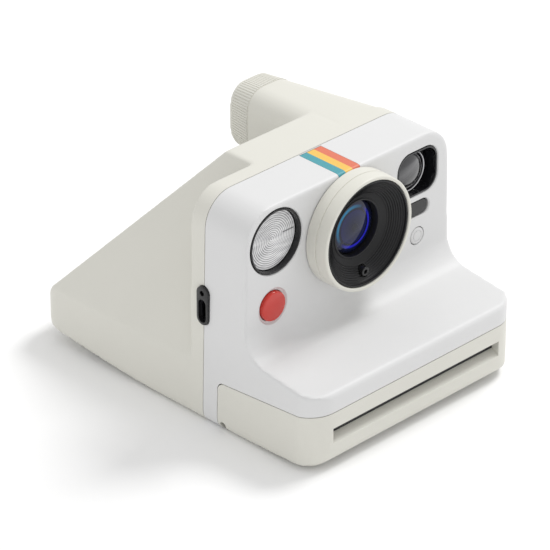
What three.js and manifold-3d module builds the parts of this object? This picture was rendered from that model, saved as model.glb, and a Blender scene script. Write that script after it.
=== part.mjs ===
// Instant film camera: a box body with a stepped hood, a drop-down film door and a viewfinder tube.
// Millimetres, +Z up. The front faces -Y and the origin is under the middle of the body, on its base.
import * as THREE from "three";
import { mergeVertices } from "three/addons/utils/BufferGeometryUtils.js";
import { ConvexGeometry } from "three/addons/geometries/ConvexGeometry.js";
import Module from "manifold-3d";

const wasm = await Module();
wasm.setup();

// Overall body; y is measured back from the front of the hood until the last group centres it
const bodyWidth = 112.2;
const bodyLength = 150.2;
const bodyHeight = 95.2;
const wall = 2.2; // moulded shell thickness
const gap = 0.3; // air between neighbouring pieces
const sideDraft = 2.4; // how much each side leans in from base to top
const planRadius = 11.2; // upright corners of the body
const baseRadius = 4.5; // edges of the underside
const shoulderRadius = 13; // top corners of the face

// Side view of the body
const faceY = 36.5; // upright face behind the hood
const faceTopDrop = 0.3; // the top falls this much from the seam to the face
const deckRearZ = 36.8;
const deckFrontZ = 32.3;
const deckFillet = 11;
const seamY = 58; // joint between front and rear shells
const collarDepth = 7.5; // full-section band of the rear shell behind the seam
const ridgeY = 79.5; // where the top breaks into the sloping back
const rearWallZ = 16.5; // foot of the sloping back
const rearLean = 1.6; // the rear wall leans in towards the base
const frontRise = 2.6; // underside rises to the front
const rearRise = 6; // and to the rear
const landingFrontY = 42; // flat foot that the camera stands on
const landingRearY = 82;
const ridgeHalfWidth = 22.3; // flat top behind the collar
const flankFootZ = 24.2; // where the sloping flanks meet the upright sides

// Film door
const doorRearY = 50.2;
const doorRearZ = 20.5;
const doorFrontZ = 24.2;
const doorPivotY = 47.6;
const doorPivotZ = 2.9;
const knuckleRadius = 2.5;
const pinRadius = 1.2;
const slotHalfWidth = 45.1;
const slotTopZ = 17.6;
const slotHeight = 6.1;
const slotGap = 2.4; // film gap at the inner end of the ramp
const slotDepth = 6.5;

// Viewfinder tube
const tubeRearY = 117.5;
const tubeLeftX = 16.4;
const tubeWidth = 22.6;
const tubeHeight = 28.5;
const tubeRadius = 8.5;
const tubeRootDrop = 36; // height of the tube where it leaves the collar
const eyepieceInset = 4.2; // rim between the tube's outside and the eyepiece

// Lens
const ringRadius = 23.3;
const lensDrop = 23.6; // centre of the lens below the top
const ringClearance = 2.2; // the ring may dip this far into the fillet above the deck
const lensZ = Math.max(bodyHeight - lensDrop, deckRearZ + deckFillet + ringRadius - ringClearance);
const ringWall = 1.7;
const ringFrontY = 26;
const coneInset = 0.6; // cone starts this far behind the ring's front
const glassRadius = 10.9;
const glassY = 33.4;
const faceHoleRadius = 21;

// Flash, buttons and windows on the face
const flashX = -38.4;
const flashZ = bodyHeight - 15.8;
const flashHoleRadius = 13.3;
const shutterX = -40.2;
const shutterZ = bodyHeight - 42.3;
const shutterRadius = 6;
const buttonTravel = 0.8;
const timerX = 37.4;
const timerZ = bodyHeight - 42.8;
const timerRadius = 3.5;
const finderX = 37.3;
const finderZ = bodyHeight - 15.6;
const finderWidth = 22;
const finderHeight = 19.4;
const finderRadius = 6.5;
const sensorWindowZ = bodyHeight - 31.2;
const sensorWindowWidth = 13;
const sensorWindowHeight = 6.8;
const bandHalfWidth = 5.6;
const bandDepth = 0.5;

// Charging port on the side
const portY = 58.2;
const portZ = bodyHeight - 44.8;
const portWidth = 6.4;
const portHeight = 16.6;
const portThickness = 1.2;

// Controls on the sloping back, measured down the slope from the ridge
const powerX = -11;
const flashButtonX = 8.5;
const controlsDown = 15;
const displayDown = 28;
const backButtonWidth = 9;
const backButtonHeight = 6;
const displayWidth = 18;
const displayHeight = 9;
const backPadRadius = 2.4;

// Film chamber, mirror box and drive
const chamberFrontY = 28;
const chamberDepth = 105;
const chamberHalfWidth = 48;
const chamberZ = 7.2;
const chamberHeight = 18.4;
const chamberWall = 1.5;
const imageHalfWidth = 39.5;
const backClearance = 5.4; // room between the sloping back and the mirror box
const rollerY = 17;
const rollerNipZ = 18;
const rollerRadius = 3.5;
const rollerHalfLength = 43.5;
const gearModule = 0.5214;
const gearX = 49.2;
const gearWidth = 2.4;

const cornerSteps = 6;
const roundSides = 20;

// solids

function toSolid(geometry) {
  const bare = geometry.clone();
  for (const name of Object.keys(bare.attributes)) if (name !== "position") bare.deleteAttribute(name);
  const merged = mergeVertices(bare, 1e-4);
  return new wasm.Manifold(new wasm.Mesh({
    numProp: 3,
    vertProperties: new Float32Array(merged.attributes.position.array),
    triVerts: new Uint32Array(merged.index.array),
  }));
}

function toGeometry(solid) {
  const { vertProperties, triVerts } = solid.getMesh();
  const geometry = new THREE.BufferGeometry();
  geometry.setAttribute("position", new THREE.BufferAttribute(new Float32Array(vertProperties), 3));
  geometry.setIndex(new THREE.BufferAttribute(new Uint32Array(triVerts), 1));
  return geometry;
}

const unite = (...solids) => solids.reduce((sum, next) => sum.add(next));
const cut = (solid, ...tools) => tools.reduce((rest, tool) => rest.subtract(tool), solid);
const common = (...solids) => solids.reduce((sum, next) => sum.intersect(next));

const pointOf = ([a, b]) => new THREE.Vector2(a, b);

// Outline through corner points [a, b, radius], counter-clockwise, with each corner rounded by an arc
function outline(corners) {
  return corners.flatMap(([a, b, radius = 0], k) => {
    const here = new THREE.Vector2(a, b);
    if (radius <= 0) return [here];
    const toBefore = pointOf(corners.at(k - 1)).sub(here).normalize();
    const toAfter = pointOf(corners[(k + 1) % corners.length]).sub(here).normalize();
    const half = Math.acos(toBefore.dot(toAfter)) / 2;
    const centre = toBefore.clone().add(toAfter).setLength(radius / Math.sin(half)).add(here);
    const start = toBefore.clone().multiplyScalar(radius / Math.tan(half)).add(here);
    const sweep = Math.sign(toAfter.cross(toBefore)) * (Math.PI - 2 * half);
    return Array.from({ length: cornerSteps + 1 }, (_, i) =>
      start.clone().rotateAround(centre, (sweep * i) / cornerSteps));
  });
}

// The same corners moved in by a distance, or out by a negative one
function insetCorners(corners, distance) {
  return corners.map(([a, b, radius = 0], k) => {
    const here = new THREE.Vector2(a, b);
    const before = here.clone().sub(pointOf(corners.at(k - 1))).normalize();
    const after = pointOf(corners[(k + 1) % corners.length]).sub(here).normalize();
    const turn = before.cross(after);
    const shift = after.clone().sub(before).multiplyScalar(distance / (turn || 1));
    if (Math.abs(turn) < 1e-6) shift.set(-before.y, before.x).multiplyScalar(distance);
    const moved = turn > 0 ? radius - distance : radius + distance;
    return [a + shift.x, b + shift.y, radius > 0 ? Math.max(moved, 0) : 0];
  });
}

function prism(points, depth, basis) {
  const geometry = new THREE.ExtrudeGeometry(new THREE.Shape(points), { depth, bevelEnabled: false });
  return toSolid(geometry.applyMatrix4(basis));
}

const axisX = new THREE.Vector3(1, 0, 0);
const axisY = new THREE.Vector3(0, 1, 0);
const axisZ = new THREE.Vector3(0, 0, 1);
const forward = new THREE.Vector3(0, -1, 0);

// Outlines in y and z run along x, in x and z along y, and in x and y along z
const prismX = (points, x0, x1) =>
  prism(points, x1 - x0, new THREE.Matrix4().makeBasis(axisY, axisZ, axisX).setPosition(x0, 0, 0));
const prismY = (points, y0, y1) =>
  prism(points, y1 - y0, new THREE.Matrix4().makeBasis(axisX, axisZ, forward).setPosition(0, y1, 0));
const prismZ = (points, z0, z1) =>
  prism(points, z1 - z0, new THREE.Matrix4().setPosition(0, 0, z0));

// The same from corner points
const plateX = (corners, x0, x1) => prismX(outline(corners), x0, x1);
const plateY = (corners, y0, y1) => prismY(outline(corners), y0, y1);

const bothSides = [-1, 1];
const span = (side, inner, outer) => [side * inner, side * outer].sort((a, b) => a - b);

function box(x0, x1, y0, y1, z0, z1) {
  const geometry = new THREE.BoxGeometry(x1 - x0, y1 - y0, z1 - z0);
  return toSolid(geometry.translate((x0 + x1) / 2, (y0 + y1) / 2, (z0 + z1) / 2));
}

const rectangle = (a, b, width, height, radius = 0) => [
  [a - width / 2, b - height / 2, radius],
  [a + width / 2, b - height / 2, radius],
  [a + width / 2, b + height / 2, radius],
  [a - width / 2, b + height / 2, radius],
];

function roundX(radius, x0, x1, y, z, sides = roundSides) {
  const geometry = new THREE.CylinderGeometry(radius, radius, x1 - x0, sides);
  return toSolid(geometry.rotateZ(-Math.PI / 2).translate((x0 + x1) / 2, y, z));
}

function roundY(radius, y0, y1, x, z, sides = roundSides) {
  return toSolid(new THREE.CylinderGeometry(radius, radius, y1 - y0, sides).translate(x, (y0 + y1) / 2, z));
}

function roundZ(radius, z0, z1, x, y, sides = roundSides) {
  const geometry = new THREE.CylinderGeometry(radius, radius, z1 - z0, sides);
  return toSolid(geometry.rotateX(Math.PI / 2).translate(x, y, (z0 + z1) / 2));
}

// Profile of [radius, y] turned about a line along y through x and z
function turned(profile, x, z, sides = roundSides) {
  const points = profile.map(([radius, y]) => new THREE.Vector2(radius, y));
  if (profile[0][0] > 0) points.push(points[0].clone());
  const solid = toSolid(new THREE.LatheGeometry(points, sides).translate(x, 0, z));
  if (solid.volume() >= 0) return solid;
  return toSolid(new THREE.LatheGeometry(points.reverse(), sides).translate(x, 0, z));
}

// Hull of outlines of x and z, each at its own y
function loft(...stations) {
  const points = stations.flatMap(([y, corners]) =>
    outline(corners).map((p) => new THREE.Vector3(p.x, y, p.y)));
  return toSolid(new ConvexGeometry(points));
}

const hull = (points) => toSolid(new ConvexGeometry(points.map((p) => new THREE.Vector3(...p))));

// body

const topHalfWidth = bodyWidth / 2 - sideDraft;
const collarRearY = seamY + collarDepth;
const faceTopZ = bodyHeight - faceTopDrop;
const backAngle = Math.atan2(bodyHeight - rearWallZ, bodyLength - ridgeY);

const sideCorners = [
  [0, frontRise, baseRadius],
  [landingFrontY, 0],
  [landingRearY, 0],
  [bodyLength - rearLean, rearRise, baseRadius],
  [bodyLength, rearWallZ, 3],
  [ridgeY, bodyHeight, 2],
  [seamY, bodyHeight],
  [faceY, faceTopZ],
  [faceY, deckRearZ, deckFillet],
  [0, deckFrontZ, 3],
];

const baseHalfWidth = bodyWidth / 2 + (sideDraft * baseRadius) / bodyHeight; // before the base is rounded
const sectionCorners = [
  [-baseHalfWidth, 0, baseRadius],
  [baseHalfWidth, 0, baseRadius],
  [topHalfWidth, bodyHeight, shoulderRadius],
  [-topHalfWidth, bodyHeight, shoulderRadius],
];

const flankFootX = bodyWidth / 2 - (sideDraft * flankFootZ) / bodyHeight;
const flankCorners = [
  [-baseHalfWidth, 0, baseRadius],
  [baseHalfWidth, 0, baseRadius],
  [flankFootX, flankFootZ, 1.5],
  [ridgeHalfWidth, bodyHeight, 1.5],
  [-ridgeHalfWidth, bodyHeight, 1.5],
  [-flankFootX, flankFootZ, 1.5],
];

const planCorners = rectangle(0, bodyLength / 2, bodyWidth, bodyLength, planRadius);

// Round-cornered section of the tube between two x and two z values
const tubeSection = (x0, x1, z0, z1, radius, shoulder = radius) =>
  [[x0, z0, radius + 2], [x1, z0, radius], [x1, z1, shoulder], [x0, z1, radius]];
const tubeEnd = tubeSection(tubeLeftX, tubeLeftX + tubeWidth, bodyHeight - tubeHeight, bodyHeight,
  tubeRadius);

function tubeSolid(inset) {
  const rootY = collarRearY - collarDepth / 2 - inset;
  const root = tubeSection(tubeLeftX, topHalfWidth, bodyHeight - tubeRootDrop, bodyHeight,
    tubeRadius, shoulderRadius);
  return loft([rootY, insetCorners(root, inset)], [tubeRearY - inset, insetCorners(tubeEnd, inset)]);
}

// Body filled solid, with every outer surface moved in by the inset
function bodySolid(inset) {
  const length = prismX(outline(insetCorners(sideCorners, inset)), -bodyWidth, bodyWidth);
  const plan = prismZ(outline(insetCorners(planCorners, inset)), -10, bodyHeight + 10);
  const front = prismY(outline(insetCorners(sectionCorners, inset)), -10, collarRearY - inset);
  const rear = prismY(outline(insetCorners(flankCorners, inset)), collarRearY - collarDepth / 2 - inset,
    bodyLength + 10);
  return unite(common(length, plan, unite(front, rear)), tubeSolid(inset));
}

const outerBody = bodySolid(0);
const innerBody = bodySolid(wall);
const skin = cut(outerBody, innerBody);
const reach = bodyLength + bodyWidth + bodyHeight; // longer than the body in every direction

const doorCorners = [
  [-reach, -reach],
  [doorRearY, -reach],
  [doorRearY, doorRearZ, 4],
  [0, doorFrontZ],
  [-reach, doorFrontZ + ((doorFrontZ - doorRearZ) * reach) / doorRearY],
];
const doorRegion = (grow) => prismX(outline(insetCorners(doorCorners, -grow)), -bodyWidth, bodyWidth);

// Along the inward normal of the sloping back: local x across, local y down the slope, local z out
const slopeFrame = new THREE.Matrix4()
  .makeRotationX(-backAngle)
  .setPosition(0, ridgeY, bodyHeight);
const fromSlope = (geometry) => toSolid(geometry.applyMatrix4(slopeFrame));

function slopePad(x, down, width, height, radius, z0, z1) {
  const shape = new THREE.Shape(outline(rectangle(x, down, width, height, radius)));
  const geometry = new THREE.ExtrudeGeometry(shape, { depth: z1 - z0, bevelEnabled: false });
  return fromSlope(geometry.translate(0, 0, z0));
}

// scene

const camera = new THREE.Group();
const model = new THREE.Group();
model.position.y = -bodyLength / 2;
camera.add(model);

const finish = (color, roughness, metalness = 0, extra = {}) =>
  new THREE.MeshStandardMaterial({ color, roughness, metalness, flatShading: true, ...extra });

const white = finish("#e9e9ea", 0.5);
const cream = finish("#dedcd1", 0.55);
const black = finish("#171718", 0.45);
const glossBlack = finish("#0b0b0d", 0.12);
const red = finish("#c8342a", 0.2);
const band = finish("#e7a23f", 0.4);
const glass = finish("#26345c", 0.05, 0, { transparent: true, opacity: 0.5 });
const clear = finish("#eef2f4", 0.15, 0, { transparent: true, opacity: 0.6 });
const steel = finish("#b9bcc0", 0.3, 1);
const brass = finish("#c2a04c", 0.35, 1);
const mirrorFinish = finish("#e8ecef", 0.03, 1);
const board = finish("#1f5a3a", 0.5);
const acetal = finish("#efeee8", 0.45);
const wrap = finish("#2b3f7a", 0.45);

function add(name, solid, material) {
  const mesh = new THREE.Mesh(toGeometry(solid), material);
  mesh.name = name;
  model.add(mesh);
}

// shells

const lensHole = roundY(faceHoleRadius, faceY - 1, faceY + 2 * wall, 0, lensZ, 36);
const flashHole = roundY(flashHoleRadius, faceY - 1, faceY + 2 * wall, flashX, flashZ, 32);
const finderHole = (clearance, y0, y1) =>
  plateY(rectangle(finderX, finderZ, finderWidth - 2 * clearance, finderHeight - 2 * clearance,
    finderRadius - clearance), y0, y1);
const sensorHole = (clearance, y0, y1) =>
  plateY(rectangle(finderX, sensorWindowZ, sensorWindowWidth - 2 * clearance,
    sensorWindowHeight - 2 * clearance, sensorWindowHeight / 2 - clearance - 0.01), y0, y1);
const portPill = (clearance) =>
  plateX(rectangle(portY, portZ, portWidth - 2 * clearance, portHeight - 2 * clearance,
    portWidth / 2 - clearance - 0.01), -bodyWidth / 2 - 2, -bodyWidth / 2 + 12);
const bandStrip = (clearance) =>
  box(-bandHalfWidth - clearance, bandHalfWidth + clearance, faceY - 1, seamY - 2 * gap + clearance,
    faceTopZ - 2.4 - clearance, bodyHeight + 1);

// Ears on the front shell that carry the door's pins
const earX = bodyWidth / 2 - 5.6;
const earWidth = 2.4;
const earRadius = 2.1;
function doorEar(side) {
  const [low, high] = span(side, earX - earWidth / 2, earX + earWidth / 2);
  const arm = box(low, high, doorPivotY, seamY - 1.2, doorPivotZ - earRadius + 0.2, doorPivotZ + earRadius);
  const eye = roundX(earRadius, low, high, doorPivotY, doorPivotZ, 20);
  const bore = roundX(pinRadius + gap, low - 1, high + 1, doorPivotY, doorPivotZ, 20);
  return cut(unite(arm, eye), bore);
}

const latchY = 27;
const latchZ = 28.2;
const latchTravel = 3;
const latchSide = bodyWidth / 2 - (sideDraft * latchZ) / bodyHeight; // outside of the wall at the latch
// Room for the latch at both ends of its travel
const latchPocket = (x0, halfLength, halfHeight) =>
  box(x0, latchSide + 2, latchY - halfLength, latchY + halfLength + latchTravel,
    latchZ - halfHeight, latchZ + halfHeight);
const latchSlot = unite(latchPocket(latchSide - 6, 3 + gap, 1.1 + gap),
  latchPocket(latchSide - 1.3, 6 + gap, 3 + gap));

function frontShell() {
  const half = box(-reach, reach, -reach, seamY - gap / 2, -reach, reach);
  const shell = cut(common(skin, half), doorRegion(gap), lensHole, flashHole,
    roundY(shutterRadius + gap, faceY - 1, faceY + 2 * wall, shutterX, shutterZ),
    roundY(timerRadius + gap, faceY - 1, faceY + 2 * wall, timerX, timerZ),
    finderHole(0, faceY - 1, faceY + 2 * wall), sensorHole(0, faceY - 1, faceY + 2 * wall),
    common(bandStrip(gap), cut(bodySolid(-1), bodySolid(bandDepth + gap))), portPill(0), latchSlot);
  return unite(shell, doorEar(1), doorEar(-1));
}

const screwPlaces = [[-50.4, 70], [50.4, 70], [-50.4, 122], [50.4, 122]];
const screwHeadRadius = 2.3;
const screwHeadHeight = 1.6;
const rearSlope = rearRise / (bodyLength - rearLean - landingRearY);
const undersideZ = (y) => Math.max(0, y - landingRearY) * rearSlope;

function rearShell() {
  const half = box(-reach, reach, seamY + gap / 2, reach, -reach, reach);
  const eye = insetCorners(tubeEnd, eyepieceInset);
  const screwHoles = screwPlaces.flatMap(([x, y]) => [
    roundZ(1.5, -1, 12, x, y, 12),
    roundZ(screwHeadRadius + gap, -1, undersideZ(y) + screwHeadHeight - 0.2, x, y, 16),
  ]);
  const pads = screwPlaces.map(([x, y]) =>
    roundZ(4, undersideZ(y) + 0.7, undersideZ(y) + wall + 1, x, y, 16));
  const slopeHole = (x, down, width, height) =>
    slopePad(x, down, width + 2 * gap, height + 2 * gap, backPadRadius, -4, 1);
  return cut(unite(common(skin, half), ...pads), plateY(eye, tubeRearY - 2 * wall, tubeRearY + 1),
    portPill(0), ...screwHoles, slopeHole(powerX, controlsDown, backButtonWidth, backButtonHeight),
    slopeHole(flashButtonX, controlsDown, backButtonWidth, backButtonHeight),
    slopeHole(0, displayDown, displayWidth, displayHeight));
}

// Tray below the hood: skin, slot block, hinge knuckles and latch catch
const knuckleHalfWidth = 1.6;
const knuckleX = earX - earWidth / 2 - gap - knuckleHalfWidth;
function filmDoor() {
  const tray = common(skin, doorRegion(0));
  const frame = wall + gap; // material round the slot
  const slotBlock = common(box(-slotHalfWidth - frame, slotHalfWidth + frame, wall / 2, slotDepth,
    slotTopZ - slotHeight - frame, slotTopZ + frame), bodySolid(0.5));
  const ramp = plateX([
    [-1, slotTopZ - slotHeight],
    [0, slotTopZ - slotHeight],
    [slotDepth, slotTopZ - slotGap],
    [slotDepth + 1, slotTopZ - slotGap],
    [slotDepth + 1, slotTopZ],
    [-1, slotTopZ],
  ], -slotHalfWidth, slotHalfWidth);
  const roundAtHinge = (side, radius, halfWidth) =>
    roundX(radius, ...span(side, knuckleX - halfWidth, knuckleX + halfWidth), doorPivotY, doorPivotZ, 24);
  const knuckles = bothSides.map((side) => roundAtHinge(side, knuckleRadius, knuckleHalfWidth));
  const bores = bothSides.map((side) => roundAtHinge(side, pinRadius + gap, knuckleHalfWidth + 1.4));
  const notches = bothSides.map((side) =>
    box(...span(side, earX - earWidth / 2 - gap, earX + earWidth / 2 + gap),
      doorPivotY - knuckleRadius - 0.4, doorRearY + 1, -1, doorPivotZ + 5));
  const heel = cut(box(-bodyWidth, bodyWidth, doorPivotY, doorRearY + 1, -1, doorPivotZ),
    roundX(doorRearY - doorPivotY, -bodyWidth - 1, bodyWidth + 1, doorPivotY, doorPivotZ, 48));
  return cut(unite(cut(tray, heel), slotBlock, ...knuckles), ramp, ...notches, ...bores);
}

function shells() {
  add("front_shell", frontShell(), white);
  add("rear_shell", rearShell(), cream);
  add("film_door", filmDoor(), cream);
  for (const [side, name] of [[-1, "right"], [1, "left"]]) {
    const ends = span(side, knuckleX - knuckleHalfWidth, earX + earWidth / 2 - 0.4);
    add(`hinge_pin_${name}`, roundX(pinRadius, ...ends, doorPivotY, doorPivotZ, 16), steel);
  }
  screwPlaces.forEach(([x, y], k) => {
    const foot = undersideZ(y) + 0.1;
    const head = roundZ(screwHeadRadius, foot, foot + screwHeadHeight - 0.6, x, y, 16);
    const shank = roundZ(1.2, foot + 0.5, foot + 7.5, x, y, 10);
    const slot = box(x - 0.35, x + 0.35, y - 1.4, y + 1.4, foot - 1, foot + 0.6);
    add(`base_screw_${k + 1}`, cut(unite(head, shank), slot), steel);
  });
  const bandSkin = cut(bodySolid(0), bodySolid(bandDepth));
  add("colour_band", cut(common(bandStrip(0), bandSkin), lensHole), band);
}

// lens

function lens() {
  const sides = 36;
  const bore = ringRadius - ringWall;
  const neck = faceHoleRadius - gap;
  const back = faceY - gap;
  const ringProfile = [
    [ringRadius, ringFrontY],
    [ringRadius, back],
    [neck, back],
    [neck, back + 4.5],
    [neck - 1.4, back + 4.5],
    [neck - 1.4, back - 1.5],
    [bore, back - 1.5],
    [bore, ringFrontY],
  ];
  add("lens_ring", turned(ringProfile, 0, lensZ, sides), cream);
  const coneY = ringFrontY + coneInset;
  const rim = bore - gap;
  const throat = glassRadius + gap;
  const cone = turned([[rim, coneY], [throat, glassY], [throat, glassY + 6], [throat + 1.3, glassY + 6],
    [throat + 1.3, glassY + 1.4], [rim, coneY + 1.5]], 0, lensZ, sides);
  const bossX = 0.5;
  const bossZ = lensZ - 17;
  const bossY = coneY + ((glassY - coneY) * (rim - 17)) / (rim - throat);
  add("lens_cone", cut(cone, roundY(2.2, coneY, glassY + 3, bossX, bossZ, 12)), black);
  const bossBack = bossY + 2.4;
  add("light_sensor", cut(roundY(1.9, bossY - 1.4, bossBack, bossX, bossZ, 12),
    roundY(0.8, bossY - 2, bossY + 0.6, bossX, bossZ, 8)), glossBlack);
  const bulge = 1.3;
  const lensProfile = (radius, front, back, crown) => {
    const arc = Array.from({ length: 5 }, (_, i) => (radius * i) / 4);
    return [...arc.map((r) => [r, front + crown * (r / radius) ** 2]),
      ...arc.slice().reverse().map((r) => [r, back - crown * (r / radius) ** 2])];
  };
  const frontLens = lensProfile(glassRadius, glassY + 0.4, glassY + 5.6, bulge);
  add("front_lens", turned(frontLens, 0, lensZ, 28), glass);
  const barrelY = glassY + 6 + gap;
  const barrelRadius = glassRadius + 1.6;
  const barrelLength = 6.4;
  const barrelProfile = [
    [barrelRadius, barrelY],
    [barrelRadius, barrelY + barrelLength],
    [glassRadius - 1, barrelY + barrelLength],
    [glassRadius - 1, barrelY],
  ];
  add("lens_barrel", turned(barrelProfile, 0, lensZ, 28), black);
  const mountY = faceY + wall + 4.2 + gap;
  const plateTop = bodyHeight - wall - 2;
  const plateBottom = lensZ - ringRadius - 1.3;
  const plateCorners = rectangle(0, (plateTop + plateBottom) / 2, 50, plateTop - plateBottom, 3);
  const plate = plateY(plateCorners, mountY, mountY + 1.6);
  add("lens_plate", cut(plate, roundY(barrelRadius + gap, mountY - 1, mountY + 3, 0, lensZ, 28)), steel);
  shutter(barrelY + barrelLength + gap);
}

function shutter(shutterY) {
  const pivotX = 8;
  const pivotZ = lensZ + 11;
  const bladePins = bothSides.map((side) =>
    roundY(1, shutterY + 0.6, shutterY + 3.2, side * pivotX, pivotZ, 12));
  const focusPin = roundY(1.5, shutterY + 0.6, shutterY + 6.6, 0, lensZ - focusOffset, 16);
  const plateBody = cut(plateY(rectangle(0, lensZ - 0.5, 36, 35, 3), shutterY, shutterY + 1.2),
    roundY(6, shutterY - 1, shutterY + 3, 0, lensZ));
  add("shutter_plate", unite(plateBody, ...bladePins, focusPin), black);
  for (const [side, name, layer] of [[-1, "right", 0], [1, "left", 1]]) {
    const y0 = shutterY + 1.2 + gap + layer * 0.8;
    const leaf = [
      [-0.8, lensZ - 7, 1],
      [7.6, lensZ - 7, 2],
      [pivotX + 2.6, pivotZ - 1, 1.2],
      [pivotX + 2.6, pivotZ + 2.6, 2.4],
      [pivotX - 2.6, pivotZ + 2.6, 2.4],
      [-0.8, lensZ + 7, 1],
    ];
    const corners = side > 0 ? leaf : leaf.map(([x, z, r]) => [-x, z, r]).reverse();
    const eye = roundY(1 + gap, y0 - 1, y0 + 2, side * pivotX, pivotZ, 16);
    add(`shutter_blade_${name}`, cut(plateY(corners, y0, y0 + 0.5), eye), steel);
  }
  focusDisc(shutterY + 3.4);
}

const focusRadius = 15.5;
const focusOffset = 9.5;
const elementRadius = 4.6;
const nearTurn = 120; // degrees between the far and near elements on the disc
function focusDisc(y0) {
  const axisAt = lensZ - focusOffset;
  const spots = [0, nearTurn].map((degrees) => {
    const turn = THREE.MathUtils.degToRad(degrees);
    return [-focusOffset * Math.sin(turn), axisAt + focusOffset * Math.cos(turn)];
  });
  const disc = roundY(focusRadius, y0, y0 + 1.6, 0, axisAt, 28);
  add("focus_disc", cut(disc, roundY(1.5 + gap, y0 - 1, y0 + 3, 0, axisAt, 20),
    ...spots.map(([x, z]) => roundY(elementRadius + gap, y0 - 1, y0 + 3, x, z, 20))), black);
  ["far_lens", "near_lens"].forEach((name, k) => {
    const [x, z] = spots[k];
    const profile = [[0, y0 - 0.3], [elementRadius, y0 + 0.3], [elementRadius, y0 + 1.3], [0, y0 + 1.9]];
    add(name, turned(profile, x, z, 16), glass);
  });
}

// flash

function flash() {
  const sleeve = flashHoleRadius - gap;
  const window = sleeve - 0.7 - gap;
  const ledgeY = faceY + 4.6; // the window rests against this
  const sleeveRearY = faceY + wall + 4;
  const sleeveProfile = [
    [sleeve, faceY],
    [sleeve, sleeveRearY],
    [sleeve - 2.4, sleeveRearY],
    [sleeve - 2.4, ledgeY],
    [sleeve - 0.7, ledgeY],
    [sleeve - 0.7, faceY],
  ];
  add("flash_ring", turned(sleeveProfile, flashX, flashZ, 32), black);
  add("flash_window", roundY(window, faceY + 2.6, ledgeY - gap, flashX, flashZ, 32), clear);
  const bowlY = sleeveRearY + gap;
  const bowlProfile = [
    [0, bowlY + 9.2],
    [6.5, bowlY + 7.6],
    [10.4, bowlY + 3.6],
    [11.6, bowlY],
    [12.8, bowlY],
    [11.5, bowlY + 4.3],
    [7.3, bowlY + 8.8],
    [0, bowlY + 10.4],
  ];
  const tubeRound = (radius, halfLength) =>
    roundX(radius, flashX - halfLength, flashX + halfLength, bowlY + 4, flashZ, 16);
  add("flash_reflector", cut(turned(bowlProfile, flashX, flashZ, 24), tubeRound(2, 14)), mirrorFinish);
  add("flash_tube", tubeRound(1.6, 12.5), glass);
  add("flash_capacitor", roundZ(5, 26.5, 44.8, -40, 44.6), wrap);
}

// controls and windows on the face

function faceButton(name, x, z, radius, proud, material) {
  const flangeY = faceY + wall + gap;
  const cap = roundY(radius, faceY - proud, flangeY + 0.6, x, z, 28);
  const flange = roundY(radius + 1.2, flangeY, flangeY + 1.1, x, z, 20);
  const stem = roundY(1.6, flangeY + 0.8, flangeY + 3.2, x, z, 10);
  add(`${name}_button`, unite(cap, flange, stem), material);
  const switchY = flangeY + 3.2 + buttonTravel + gap;
  add(`${name}_switch`, unite(roundY(1.5, switchY, switchY + 1, x, z, 10),
    box(x - 3, x + 3, switchY + 0.6, switchY + 3, z - 3, z + 3)), glossBlack);
}

const finderFrameRearY = faceY + 8.4;
function faceControls() {
  faceButton("shutter", shutterX, shutterZ, shutterRadius, 0.9, red);
  faceButton("timer", timerX, timerZ, timerRadius, 0.1, white);
  const opening = plateY(rectangle(finderX, finderZ, finderWidth - 8, finderHeight - 6, 4),
    faceY, finderFrameRearY + 1);
  add("finder_frame", cut(finderHole(gap, faceY + 0.2, finderFrameRearY),
    finderHole(gap + 1.6, faceY - 1, faceY + 6.4), opening), glossBlack);
  const objective = [
    [0, faceY + 2.6],
    [4.6, faceY + 3.2],
    [7.4, faceY + 4.8],
    [7.4, faceY + 6],
    [0, faceY + 6],
  ];
  add("finder_objective", turned(objective, finderX - 0.6, finderZ, 24), glass);
  add("sensor_window", sensorHole(gap, faceY + 0.6, faceY + wall), glossBlack);
}

// viewfinder tube

function viewfinder() {
  const eye = insetCorners(tubeEnd, eyepieceInset + gap);
  const front = rectangle(finderX, finderZ, finderWidth - 6, finderHeight - 4, 2);
  const rear = insetCorners(eye, -1);
  const y0 = finderFrameRearY + gap;
  const y1 = tubeRearY - wall - gap - 3;
  const bore = loft([y0 - 1, insetCorners(front, 1)], [y1 + 1, insetCorners(rear, 1)]);
  add("finder_tunnel", cut(loft([y0, front], [y1, rear]), bore), black);
  add("eyepiece", plateY(eye, tubeRearY - wall - 1.4, tubeRearY - 0.9), glass);
}

// charging port

function chargingPort() {
  const plate = common(portPill(gap), cut(bodySolid(0), bodySolid(portThickness)));
  const outside = -bodyWidth / 2;
  const socketZ = portZ - 2.2;
  const ledZ = portZ + portHeight / 2 - 3;
  const mouth = plateX(rectangle(portY, socketZ, 3.9, 9.7, 1.9), outside - 2, outside + 10);
  const ledHole = roundX(1.1, outside - 2, outside + 10, portY, ledZ, 16);
  add("port_plate", cut(plate, mouth, ledHole), black);
  const socketX = outside + 1.6;
  const socket = plateX(rectangle(portY, socketZ, 3.2, 9, 1.55), socketX, socketX + 7.3);
  const opening = plateX(rectangle(portY, socketZ, 2.5, 8.3, 1.2), socketX - 1, socketX + 6.3);
  const tongue = box(socketX + 1.2, socketX + 6.8, portY - 0.35, portY + 0.35, socketZ - 3.2, socketZ + 3.2);
  add("usb_socket", unite(cut(socket, opening), tongue), steel);
  add("charge_led", roundX(0.8, outside + 1.5, outside + 4, portY, ledZ, 12), acetal);
}

// controls on the back

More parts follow.
